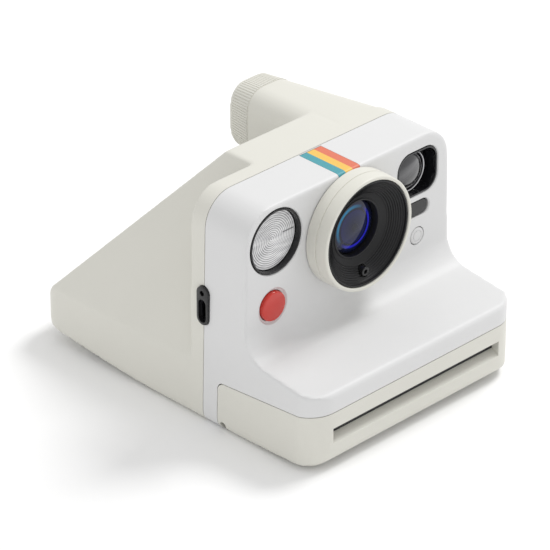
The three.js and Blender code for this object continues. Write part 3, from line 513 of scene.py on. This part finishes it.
latchSet = dict(y=27, z=28.2, half=6, high=3, neckHalf=3, neckHigh=1.1, travel=3,
                side=halfWidth - bodySet["draft"] * 28.2 / bodySet["height"])
earSet = dict(x=halfWidth - 5.6, width=2.4, high=2.1)


def frontShell():
    s = faceSet
    half = box("half", -wide, wide, -20, seamY - gap / 2, -20, 130)
    shell = combine(twin(bodyForm, "frontShell"), "INTERSECT", half)
    x, z, radius = s["shutter"]
    hole = radius + gap
    hollow = [(0, faceY - 2, 0), (hole + 3.1, faceY - 2, 0), (hole + 1.2, faceY + 0.02, 0.8),
              (hole + 0.6, faceY + 0.75, 0.5), (hole, faceY + 0.8, 0), (hole, faceY + 9, 0),
              (0, faceY + 9, 0)]
    dish = turned("dish", hollow, x, z)
    latch = latchSet
    side, y0, y1 = latch["side"], latch["y"] - gap, latch["y"] + gap + latch["travel"]
    z0, z1 = latch["z"] - gap, latch["z"] + gap
    combine(
        shell, "DIFFERENCE", twin(cavity, "inside"), doorRegion("doorCut", gap),
        holeTool("lensHole", *s["lens"], 0.3), holeTool("flashHole", *s["flash"], s["lip"]), dish,
        holeTool("timerHole", *s["timer"][:2], s["timer"][2] + gap, 0.15),
        windowTool("finderHole", *s["finder"], s["lip"]), windowTool("sensorHole", *s["sensor"], s["lip"]),
        box("bandGroove", -s["band"] - 0.15, s["band"] + 0.15, -20, seamY - 0.55, s["bandFoot"] - 0.15, 130),
        pillX("portHole", s["port"], 0, -halfWidth - 2, -halfWidth + 12),
        box("latchWell", side - 1.3, side + 2, y0 - latch["half"], y1 + latch["half"],
            z0 - latch["high"], z1 + latch["high"]),
        box("latchSlot", side - 6, side + 2, y0 - latch["neckHalf"], y1 + latch["neckHalf"],
            z0 - latch["neckHigh"], z1 + latch["neckHigh"]))
    pivotY, pivotZ = doorSet["pivotY"], doorSet["pivotZ"]
    for direction in (-1, 1):
        x0, x1 = sorted(direction * (earSet["x"] + k * earSet["width"] / 2) for k in (-1, 1))
        eye = cylinderX("eye", earSet["high"], x0, x1, pivotY, pivotZ)
        arm = box("arm", x0, x1, pivotY, seamY - 1.2, pivotZ - 1.9, pivotZ + earSet["high"])
        combine(shell, "UNION", combine(eye, "UNION", arm))
        bore = cylinderX("bore", doorSet["pin"] + gap, x0 - 1, x1 + 1, pivotY, pivotZ)
        combine(shell, "DIFFERENCE", bore)
    place(shade(shell), "camera_body", looks["white"], "shell_white", "front_shell")


padSet = dict(power=(-11, 15, 9, 6, 2.7), flashMode=(8.5, 15, 9, 6, 2.7), display=(0, 28, 18, 9, 2))
screwSet = dict(x=50.4, rows=(70, 122), head=2.6, depth=1.4)


def undersideZ(y):
    s = bodySet
    return max(0, y - s["landing"][1]) * s["rearRise"] / (s["length"] - s["rearLean"] - s["landing"][1])


def rearShell():
    s = tubeSet
    half = box("half", -wide, wide, seamY + gap / 2, 170, -20, 130)
    shell = combine(twin(bodyForm, "rearShell"), "INTERSECT", half)
    tools = [twin(cavity, "inside"), pillX("portHole", faceSet["port"], 0, -halfWidth - 2, -halfWidth + 12)]
    inner, end = s["eyeInset"], s["rearY"]
    tools.append(loftY("eyeHole", (end - 2 * wall, tubeEnd(), inner), (end - 0.5, tubeEnd(), inner),
                       (end + 1, tubeEnd(), inner - 1.5)))
    for key in padSet:
        x, down, width, height, radius = padSet[key]
        tools.append(slopePad(key + "Hole", x, down, width + 2 * gap, height + 2 * gap, radius + gap, -4, 2))
    for y in screwSet["rows"]:
        for x in (-screwSet["x"], screwSet["x"]):
            top = undersideZ(y) + screwSet["depth"]
            tools.append(cylinderZ("screwHole", screwSet["head"], -2, top, x, y))
    combine(shell, "DIFFERENCE", *tools)
    place(shade(shell), "camera_body", looks["cream"], "shell_cream", "rear_shell")


def filmDoor():
    s = doorSet
    pivotY, pivotZ, high, slotLow = s["pivotY"], s["pivotZ"], s["slotTop"], s["slotTop"] - s["slotHeight"]
    tray = combine(twin(bodyForm, "filmDoor"), "INTERSECT", doorRegion("doorCut", 0))
    combine(tray, "DIFFERENCE", twin(cavity, "inside"))
    side = s["slotHalf"] + 2.5
    block = box("block", -side, side, wall / 2, s["slotDepth"], slotLow - 2, high + 2)
    combine(block, "INTERSECT", bodySolid("inner", 0.6))
    combine(tray, "UNION", block)
    for direction in (-1, 1):
        half = s["knuckleHalf"]
        middle = direction * (earSet["x"] - earSet["width"] / 2 - gap - half)
        knuckle = cylinderX("knuckle", s["knuckle"], middle - half, middle + half, pivotY, pivotZ)
        combine(tray, "UNION", knuckle)
    depth = s["rampDepth"]
    step = slotLow + depth * s["rampSlope"]
    ramp = [(-3, slotLow - 0.35, 0), (0, slotLow - 0.35, 0), (depth, step, 0),
            (s["slotDepth"] + 1, step, 0), (s["slotDepth"] + 1, high, 0), (-3, high, 0)]
    lean = [(depth + 0.1, step + 0.05, 0.15), (depth + 0.5, step + 0.05, 0.15),
            (depth + 0.9, high - 0.05, 0), (depth + 0.5, high - 0.05, 0)]
    flap = slabX("slotFlap", lean, -s["slotHalf"] + 0.1, s["slotHalf"] - 0.1)
    place(flap, "film_door", looks["black"], "black_plastic")
    heel = box("heel", -wide, wide, pivotY - 1.5, s["rearY"] + 1, -1, pivotZ)
    reach = s["rearY"] - pivotY - 0.05  # round, so that the door swings past the shell
    combine(heel, "DIFFERENCE", cylinderX("heelRound", reach, -wide - 1, wide + 1, pivotY, pivotZ, 64))
    combine(tray, "DIFFERENCE", slabX("ramp", ramp, -s["slotHalf"], s["slotHalf"]), heel)
    for direction in (-1, 1):
        x0, x1 = sorted(direction * (earSet["x"] + k * (earSet["width"] / 2 + gap)) for k in (-1, 1))
        notch = box("notch", x0, x1, pivotY - s["knuckle"] - 0.4, s["rearY"] + 1, -1, pivotZ + 5)
        combine(tray, "DIFFERENCE", notch, cylinderX("bore", s["pin"] + gap, x0 - 6, x1 + 6, pivotY, pivotZ))
    place(shade(tray), "film_door", looks["cream"], "shell_cream", "film_door")


frontShell()
rearShell()
filmDoor()
strip = box("colourBand", -faceSet["band"], faceSet["band"], -20, seamY - 0.9, faceSet["bandFoot"], 130)
combine(strip, "INTERSECT", twin(bodyForm, "form"))
place(shade(strip), "camera_body", looks["band"], "band_print", "colour_band")
bpy.data.objects.remove(bodyForm)
bpy.data.objects.remove(cavity)
print("shells")

lensX, lensZ, ringRadius = faceSet["lens"][0], faceSet["lens"][1], 23.3
lensSet = dict(front=26, back=faceY - gap, bore=21.6, groove=31.2, coneFront=26.6, steps=8, stepDepth=0.32,
               plain=14.6, glass=10.9, glassY=33.4, boss=1.9, bossX=0.5, bossDrop=17)


def lensRing():
    s = lensSet
    neck, r, g = faceSet["lens"][2] - gap, ringRadius, s["groove"]
    front, back = s["front"], s["back"]
    profile = [
        (s["bore"], back - 1.5, 0), (s["bore"], front, 0.4), (r - 0.25, front, 0.55), (r, g - 0.15, 0.1),
        (r - 0.35, g - 0.05, 0.1), (r - 0.35, g + 0.25, 0.1), (r, g + 0.35, 0.1), (r, back, 0.35),
        (neck, back, 0), (neck, back + 4.5, 0), (neck - 1.4, back + 4.5, 0), (neck - 1.4, back - 1.5, 0),
    ]
    ring = turned("lensRing", profile, lensX, lensZ, 128, 30)
    place(ring, "camera_body", looks["ringCream"], "shell_cream", "lens_ring")


def lensCone():
    s = lensSet
    rim, throat, deep = s["bore"] - gap, s["glass"] + gap, s["glassY"]
    slope = (deep - s["coneFront"]) / (rim - throat)
    lip, mouth = rim - 0.7, s["coneFront"] - 0.15
    profile = [(rim, s["coneFront"] + 1.5, 0), (rim, mouth, 0.1), (lip, mouth, 0.15)]
    pitch = (lip - s["plain"]) / s["steps"]
    fall = pitch * slope
    for k in range(s["steps"]):  # fine steps that stop stray light
        r = lip - k * pitch
        y = s["coneFront"] + (rim - r) * slope
        profile += [(r, y + s["stepDepth"], 0.06), (r - pitch * 0.62, y + s["stepDepth"] + fall * 0.4, 0.06),
                    (r - pitch * 0.7, y + fall * 0.5 - 0.05, 0.06)]
    y = s["coneFront"] + (rim - s["plain"]) * slope
    profile += [(s["plain"], y + 0.1, 0.1), (throat + 0.9, deep - 0.55, 0.2),
                (throat + 0.75, deep - 1.0, 0.12), (throat + 0.15, deep - 1.0, 0.12), (throat, deep, 0),
                (throat, deep + 6, 0), (throat + 1.3, deep + 6, 0), (throat + 1.3, deep + 1.4, 0)]
    cone = turned("lensCone", profile, lensX, lensZ, 128, 25)
    bossZ = lensZ - s["bossDrop"]
    hole = cylinderY("bossHole", s["boss"] + gap, s["coneFront"], deep + 3, s["bossX"], bossZ, 48)
    combine(cone, "DIFFERENCE", hole)
    place(shade(cone, 25), "camera_body", looks["black"], "black_plastic", "lens_cone")
    bossY, r = s["coneFront"] + (ringRadius - s["bossDrop"] - s["boss"]) * slope * 0.5, s["boss"]
    boss = [(0, bossY + 4.4, 0), (r, bossY + 4.4, 0), (r, bossY, 0.3), (0.85, bossY, 0.2),
            (0.85, bossY + 1.6, 0), (0, bossY + 1.6, 0)]
    sensor = turned("lightSensor", boss, s["bossX"], bossZ, 48)
    place(sensor, "camera_body", looks["satin"], "gloss_black", "light_sensor")


# Dark blue tinted glass, with painted reflections in its colour
def glassPaintedReflections():
    f = Finish("glassPaintedReflections", specularIorLevel=0.25, coatWeight=0.2, coatRoughness=0.02)
    radius = lensSet["glass"] * mm
    middle = f.add("CombineXYZ", None, {0: lensX * mm, 1: f.axis("Y"), 2: lensZ * mm})
    away = f.add("VectorMath", dict(operation="DISTANCE"), {0: f.where(), 1: middle}, 1) / radius
    lean = (f.axis("X") - f.axis("Z") + (lensZ - lensX) * mm) / radius
    wander = f.noise(90.0, 2.0) * 0.12
    # painted reflections: lighter rings stand in for the inner elements catching the light
    depth = f.add("ValToRGB", dict(stops=[
        (0.0, (0.006, 0.008, 0.020)), (0.40, (0.010, 0.014, 0.060)), (0.60, (0.012, 0.016, 0.085)),
        (0.66, (0.004, 0.005, 0.020)), (0.82, (0.006, 0.010, 0.050)), (1.0, (0.002, 0.002, 0.006))]),
        {0: away + wander - 0.06})
    # painted reflection arcs, cyan on one side and blue on the other
    paintedArcMask = away.above(0.70, 0.05) * (1 - away.above(0.80, 0.05))
    cyanPaintedArc = f.blend(paintedArcMask * (0 - lean).above(0.55, 0.8), depth, (0.02, 0.22, 0.42))
    f.set(baseColor=f.blend(paintedArcMask * lean.above(0.25, 0.7), cyanPaintedArc, (0.03, 0.03, 0.62)))
    return f.set(roughness=wander * 0.2 + 0.01)


def frontLens():
    r, y = lensSet["glass"], lensSet["glassY"] + 0.4
    crown = [(r * k / 12, y + 1.3 * (k / 12) ** 2, 0) for k in range(1, 13)]
    profile = [(0, y, 0)] + crown + [(r, y + 4, 0), (0, y + 4, 0)]
    glass = turned("frontLens", profile, lensX, lensZ, 96)
    place(glass, "camera_body", glassPaintedReflections(), "lens_glass", "front_lens")


lensRing()
lensCone()
frontLens()
print("lens")

flashSet = dict(sleeve=13, lip=0.7, rear=faceY + wall + 4, ledge=faceY + 4.6, front=faceY + 2.6, rings=14,
                ridge=0.09, pitch=0.85)


def fresnelPlastic():
    f = Finish("fresnelPlastic", specularIorLevel=0.6, coatWeight=0.3, coatRoughness=0.08)
    x, z, radius = faceSet["flash"]
    across, up = (f.axis("X") - x * mm) / (radius * mm), (f.axis("Z") - z * mm) / (radius * mm)
    drawn = f.add("CombineXYZ", None, {0: across * 0.6, 1: up * 3.0, 2: 0.0})
    streak = f.add("TexNoise", None, {"Vector": drawn, "Scale": 2.2, "Detail": 2.0})
    # painted reflection: bright streaks stand in for the reflector behind the window
    paintedReflectorStops = [(0.3, (0.70, 0.70, 0.71)), (0.5, (0.84, 0.84, 0.85)), (0.7, (0.95, 0.95, 0.95))]
    paintedReflection = f.add("ValToRGB", dict(stops=paintedReflectorStops), {0: streak})
    away = (across * across + up * up).math("SQRT") * (radius / flashSet["pitch"])
    # painted shade: dark rings along the fresnel grooves
    groove = (away * (2 * math.pi)).math("SINE").above(0.3, 0.8)
    return f.set(baseColor=f.blend(groove * (1.2 - streak), paintedReflection, (0.20, 0.20, 0.21)),
                 roughness=streak * 0.2 + 0.3, metallic=groove * 0.15 + 0.05)


def flash():
    s = flashSet
    x, z = faceSet["flash"][:2]
    outer, inner = s["sleeve"], s["sleeve"] - s["lip"]
    profile = [(outer, faceY, 0.15), (outer, s["rear"], 0), (outer - 2.4, s["rear"], 0),
               (outer - 2.4, s["ledge"], 0), (inner, s["ledge"], 0), (inner, faceY, 0.15)]
    sleeve = turned("flashRing", profile, x, z, 128, 30)
    place(sleeve, "camera_body", looks["satin"], "black_plastic", "flash_ring")
    edge = inner - gap
    ridges = [(0, s["front"], 0)]
    for k in range(1, s["rings"] + 1):  # each ring of the lens rises, then drops
        r = k * s["pitch"]
        ridges += [(r, s["front"] - s["ridge"] * 1.1, 0), (r + 0.09, s["front"], 0)]
    ridges += [(edge, s["front"], 0.1), (edge, s["ledge"] - gap, 0), (0, s["ledge"] - gap, 0)]
    window = turned("flashWindow", ridges, x, z, 128, 20)
    place(window, "camera_body", fresnelPlastic(), "clear_plastic", "flash_window")
    wire = cylinderX("flashWire", 0.09, x + 5.6, x + 11.2, s["front"] - 0.28, z + 1.0, 12)
    place(wire, "camera_body", looks["satin"], "black_plastic")


flash()
print("flash")


# Rounded button, with its flange and stem behind the face
def cap(name, x, z, radius, proud, dome, groove=None):
    flange = faceY + wall + gap
    front = faceY - proud
    profile = [(0, front - dome, 0), (radius * 0.55, front - dome * 0.72, 0)]
    if groove:
        profile += [(groove - 0.18, front - dome * 0.55, 0), (groove - 0.1, front + 0.18, 0),
                    (groove + 0.1, front + 0.18, 0), (groove + 0.18, front - dome * 0.45, 0)]
    rim, stem = radius + 1.2, 1.6
    profile += [(radius, front, 0.55), (radius, flange, 0), (rim, flange, 0), (rim, flange + 1.1, 0),
                (stem, flange + 1.1, 0), (stem, flange + 3.2, 0), (0, flange + 3.2, 0)]
    return turned(name, profile, x, z, 96, 40)


def faceButtons():
    x, z, radius = faceSet["shutter"]
    shutter = cap("shutterButton", x, z, radius, 0.75, 0.25)
    place(shutter, "shutter_button", looks["red"], "red_plastic", "shutter_button")
    x, z, radius = faceSet["timer"]
    timer = cap("timerButton", x, z, radius, 0.1, 0.05, radius * 0.62)
    place(timer, "timer_button", looks["button"], "shell_white", "timer_button")


def tunnelGlass():
    f = Finish("finderObjective", specularIorLevel=0.7, coatWeight=0.8, coatRoughness=0.03)
    x, z = faceSet["finder"][0] - 2.6, faceSet["finder"][1]
    rise = (f.axis("Z") - z * mm) / (8 * mm) + (f.axis("X") - x * mm) / (-16 * mm)
    haze = f.noise(120.0, 2.0) * 0.3
    # painted reflection: a lighter band across the dark objective, rising to one side
    paintedReflectionStops = [(0.0, (0.006, 0.006, 0.007)), (0.45, (0.020, 0.020, 0.022)), (0.62, (0.10, 0.10, 0.105)),
                  (0.78, (0.045, 0.045, 0.05)), (1.0, (0.02, 0.02, 0.022))]
    paintedReflection = f.add("ValToRGB", dict(stops=paintedReflectionStops), {0: rise * 0.5 + 0.42 + haze * 0.5})
    return f.set(baseColor=paintedReflection, roughness=haze * 0.2 + 0.02)


def finder():
    x, z, width, height, radius = faceSet["finder"]
    outer = rect(x, z, width, height, radius)
    y0, y1 = faceY + 0.2, faceY + 8.4
    bezel = loftY("finderFrame", (y0, outer, gap), (y1, outer, gap))
    hollow = loftY("hollow", (faceY - 1, outer, gap + 0.5), (faceY + 2, outer, gap + 0.8),
                   (faceY + 6.4, outer, gap + 1.6))
    combine(bezel, "DIFFERENCE", hollow,
            slabY("opening", rect(x, z, width - 8, height - 6, 4), faceY, faceY + 10))
    place(shade(bezel), "camera_body", looks["gloss"], "gloss_black", "finder_frame")
    lensAt, r, front, sag = x - 1.6, 7.8, faceY + 1.3, 3.6
    dome = [(0, front, 0)]
    for k in range(1, 11):  # a shallow dome, in even turns
        angle = k * math.pi / 20
        dome.append((r * math.sin(angle), front + sag * (1 - math.cos(angle)), 0))
    dome += [(r, faceY + 6.2, 0), (0, faceY + 6.2, 0)]
    objective = turned("finderObjective", dome, lensAt, z, 96)
    place(objective, "camera_body", tunnelGlass(), "lens_glass", "finder_objective")
    rim = [(r + 0.25, faceY + 3.4, 0.08), (r + 0.6, faceY + 3.1, 0.08), (r + 0.6, faceY + 6.2, 0),
           (r + 0.25, faceY + 6.2, 0)]
    trim = turned("finderTrim", rim, lensAt, z, 128, 30)
    place(trim, "camera_body", looks["steel"], "steel")
    x, z, width, height, radius = faceSet["sensor"]
    pill = rect(x, z, width, height, radius)
    pane = loftY("sensorWindow", (faceY + 0.6, pill, gap + 0.25), (faceY + 0.85, pill, gap),
                 (faceY + wall, pill, gap))
    place(pane, "camera_body", looks["window"], "gloss_black", "sensor_window")


faceButtons()
finder()
print("face")


def loopPoints(corners):  # a rounded outline as points in order
    bm = bmesh.new()
    face = roundedFace(bm, corners, lambda a, b: Vector((a, 0, b)) * mm, 8)
    points = [v.co.copy() for v in face.verts]
    bm.free()
    return points


def spaced(points, count):  # evenly spaced places along a closed outline, with outward normals
    ends = points[1:] + points[:1]
    lengths = [(b - a).length for a, b in zip(points, ends)]
    passed, k, found = 0.0, 0, []
    for i in range(count):
        goal = sum(lengths) * i / count
        while passed + lengths[k] < goal:
            passed += lengths[k]
            k += 1
        along = (ends[k] - points[k]).normalized()
        found.append((points[k] + along * (goal - passed), Vector((along.z, 0, -along.x))))
    return found


def tubeGrip():
    s = tubeSet

    def section(y):
        share = (y - tubeRootY) / (s["rearY"] - tubeRootY)
        mixed = [tuple(p + (q - p) * share for p, q in zip(a, b)) for a, b in zip(tubeRoot(), tubeEnd())]
        return loopPoints(mixed)

    y0, y1 = s["rearY"] - s["gripLength"] - 1.4, s["rearY"] - 1.4
    first = section(y0)
    count = round(sum((a - b).length for a, b in zip(first, first[1:] + first[:1])) / mm / s["gripPitch"])
    bm = bmesh.new()
    low, tall, half = -0.25 * mm, s["gripHeight"] * mm, 0.4 * mm
    across = ((low, -half), (tall * 0.7, -half), (tall, -half * 0.4), (tall, half * 0.4),
              (tall * 0.7, half), (low, half))
    for (a, out), (b, outEnd) in zip(spaced(first, count), spaced(section(y1), count)):
        ring = []
        for base, normal, y in ((a, out, y0), (b, outEnd, y1)):
            side = Vector((normal.z, 0, -normal.x))
            centre = base + Vector((0, at(0, y, 0).y, 0))
            verts = [bm.verts.new(centre + normal * rise + side * shift) for rise, shift in across]
            ring.append(bm.faces.new(verts))
        bmesh.ops.bridge_loops(bm, edges=ring[0].edges[:] + ring[1].edges[:])
    place(keep("tubeGrip", bm, 30), "camera_body", looks["cream"], "shell_cream")


def backControls():
    for key, node in (("power", "power_button"), ("flashMode", "flash_mode_button")):
        x, down, width, height, radius = padSet[key]
        button = slopePad(key + "Button", x, down, width, height, radius, -3.1, 0.5, 0.45)
        combine(button, "UNION", slopePad("flange", x, down, width + 2, height + 2, radius, -3.9, -2.5))
        mark = slopePad(key + "Mark", x, down, 2.6, 0.7, 0.3, 0.42, 0.56, 0.05)
        place(shade(button), node, looks["button"], "button_plastic", node)
        place(mark, node, looks["satin"], "black_plastic")
    x, down, width, height, radius = padSet["display"]
    pane = slopePad("counterDisplay", x, down, width, height, radius, -1.9, -0.1, 0.2)
    place(pane, "camera_body", looks["window"], "gloss_black", "counter_display")


def latch():
    s = latchSet
    side, y, z = s["side"], s["y"], s["z"]
    lever = slabX("doorLatch", rect(y, z, 2 * s["half"], 2 * s["high"], 1.2), side - 1, side - 0.1)
    grooves = [box("groove", side - 0.5, side + 1, y + k * 1.8 - 0.4, y + k * 1.8 + 0.4, z - 4, z + 4)
               for k in range(-2, 3)]
    combine(lever, "DIFFERENCE", *grooves)
    neck = box("neck", side - wall - 0.9, side - 0.6, y - s["neckHalf"], y + s["neckHalf"],
               z - s["neckHigh"], z + s["neckHigh"])
    tongue = box("tongue", side - wall - 1.2, side - wall - gap, y - 5, y + 5, z - 2.4, z + 3)
    combine(lever, "UNION", neck, tongue)
    place(shade(lever), "door_latch", looks["cream"], "shell_cream", "door_latch")


def port():
    outside = -halfWidth
    y, z = faceSet["port"][:2]
    plate = pillX("portPlate", faceSet["port"], gap * 0.6, outside - 0.6, outside + 4)
    combine(plate, "INTERSECT", box("depth", outside + 0.28, outside + 2.6, 0, 100, 0, 100))
    soft = plate.modifiers.new("soften", "BEVEL")
    soft.width = 0.25 * mm
    soft.segments = 2
    soft.limit_method = "ANGLE"
    settle(plate)
    mouth = slabX("mouth", rect(y, z - 2.2, 3.9, 9.7, 1.9), outside - 2, outside + 10, 10)
    combine(plate, "DIFFERENCE", mouth, cylinderX("ledHole", 1.1, outside - 2, outside + 10, y, z + 5.3, 24))
    place(shade(plate), "camera_body", looks["satin"], "black_plastic", "port_plate")


tubeGrip()
backControls()
latch()
port()
print("back and sides")

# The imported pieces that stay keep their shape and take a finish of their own
keptFinish = dict(
    steel="steel", brass="brass", mirror_surface="silvered", gear_plastic="acetal", circuit_board="board",
    battery_wrap="wrap", black_plastic="black", gloss_black="gloss", lens_glass="glass",
    clear_plastic="acrylic", button_plastic="button", shell_cream="cream", shell_white="white",
    red_plastic="red", band_print="band",
)
for node in nodes.values():
    for holder in node.material_slots:
        kind = holder.material.name.split(".")[0]
        holder.material = looks[keptFinish[kind]].material
nodes["usb_socket"].material_slots[0].material = looks["darkSteel"].material
nodes["eyepiece"].material_slots[0].material = looks["window"].material
print("kept pieces")

stageSet = dict(  # angles in degrees, camera lengths in millimetres, lights in metres
    azimuth=-44.85, elevation=29.50, distance=1555.0, lens=261.8, aim=(10.108, 10.833, 26.172),
    floor=(0.97, 0.97, 0.97), world=0.75, keyPower=11.5, keySize=0.6, keyFrom=(0.85, -0.14, 1.3),
    fillPower=1.1, fillSize=0.9, fillFrom=(-1.3, 0.5, 0.9), lit=(0, 0, 0.04),
)


def addLight(name, start, power, size):
    light = bpy.data.lights.new(name, "AREA")
    light.shape = "DISK"
    light.energy = power
    light.size = size
    holder = bpy.data.objects.new(name, light)
    holder.location = start
    holder.rotation_euler = (Vector(start) - Vector(stageSet["lit"])).to_track_quat("Z", "Y").to_euler()
    bpy.context.scene.collection.objects.link(holder)


def makeStage():
    s = stageSet
    bm = bmesh.new()
    bmesh.ops.create_grid(bm, x_segments=1, y_segments=1, size=6)
    floor = keep("studioFloor", bm)
    paper = Finish("studioPaper", roughness=0.9, specularIorLevel=0.0)
    paper.set(baseColor=paper.blend(paper.noise(3.0) * 0.2, s["floor"], (0.965, 0.965, 0.97)))
    floor.data.materials.append(paper.material)
    world = bpy.data.worlds.new("studio")
    world.use_nodes = True
    world.node_tree.nodes["Background"].inputs[0].default_value = (1, 1, 1, 1)
    world.node_tree.nodes["Background"].inputs[1].default_value = s["world"]
    bpy.context.scene.world = world
    addLight("keyLight", s["keyFrom"], s["keyPower"], s["keySize"])
    addLight("fillLight", s["fillFrom"], s["fillPower"], s["fillSize"])
    eye = bpy.data.objects.new("studioCamera", bpy.data.cameras.new("studioCamera"))
    turn, lift = math.radians(s["azimuth"]), math.radians(s["elevation"])
    back = Vector((math.sin(turn) * math.cos(lift), -math.cos(turn) * math.cos(lift), math.sin(lift)))
    eye.location = (Vector(s["aim"]) + back * s["distance"]) * mm
    eye.rotation_euler = back.to_track_quat("Z", "Y").to_euler()
    eye.data.sensor_width = 36
    eye.data.lens = s["lens"]
    bpy.context.scene.collection.objects.link(eye)
    bpy.context.scene.camera = eye
    bpy.context.scene.view_settings.view_transform = "Standard"


makeStage()
print("stage")
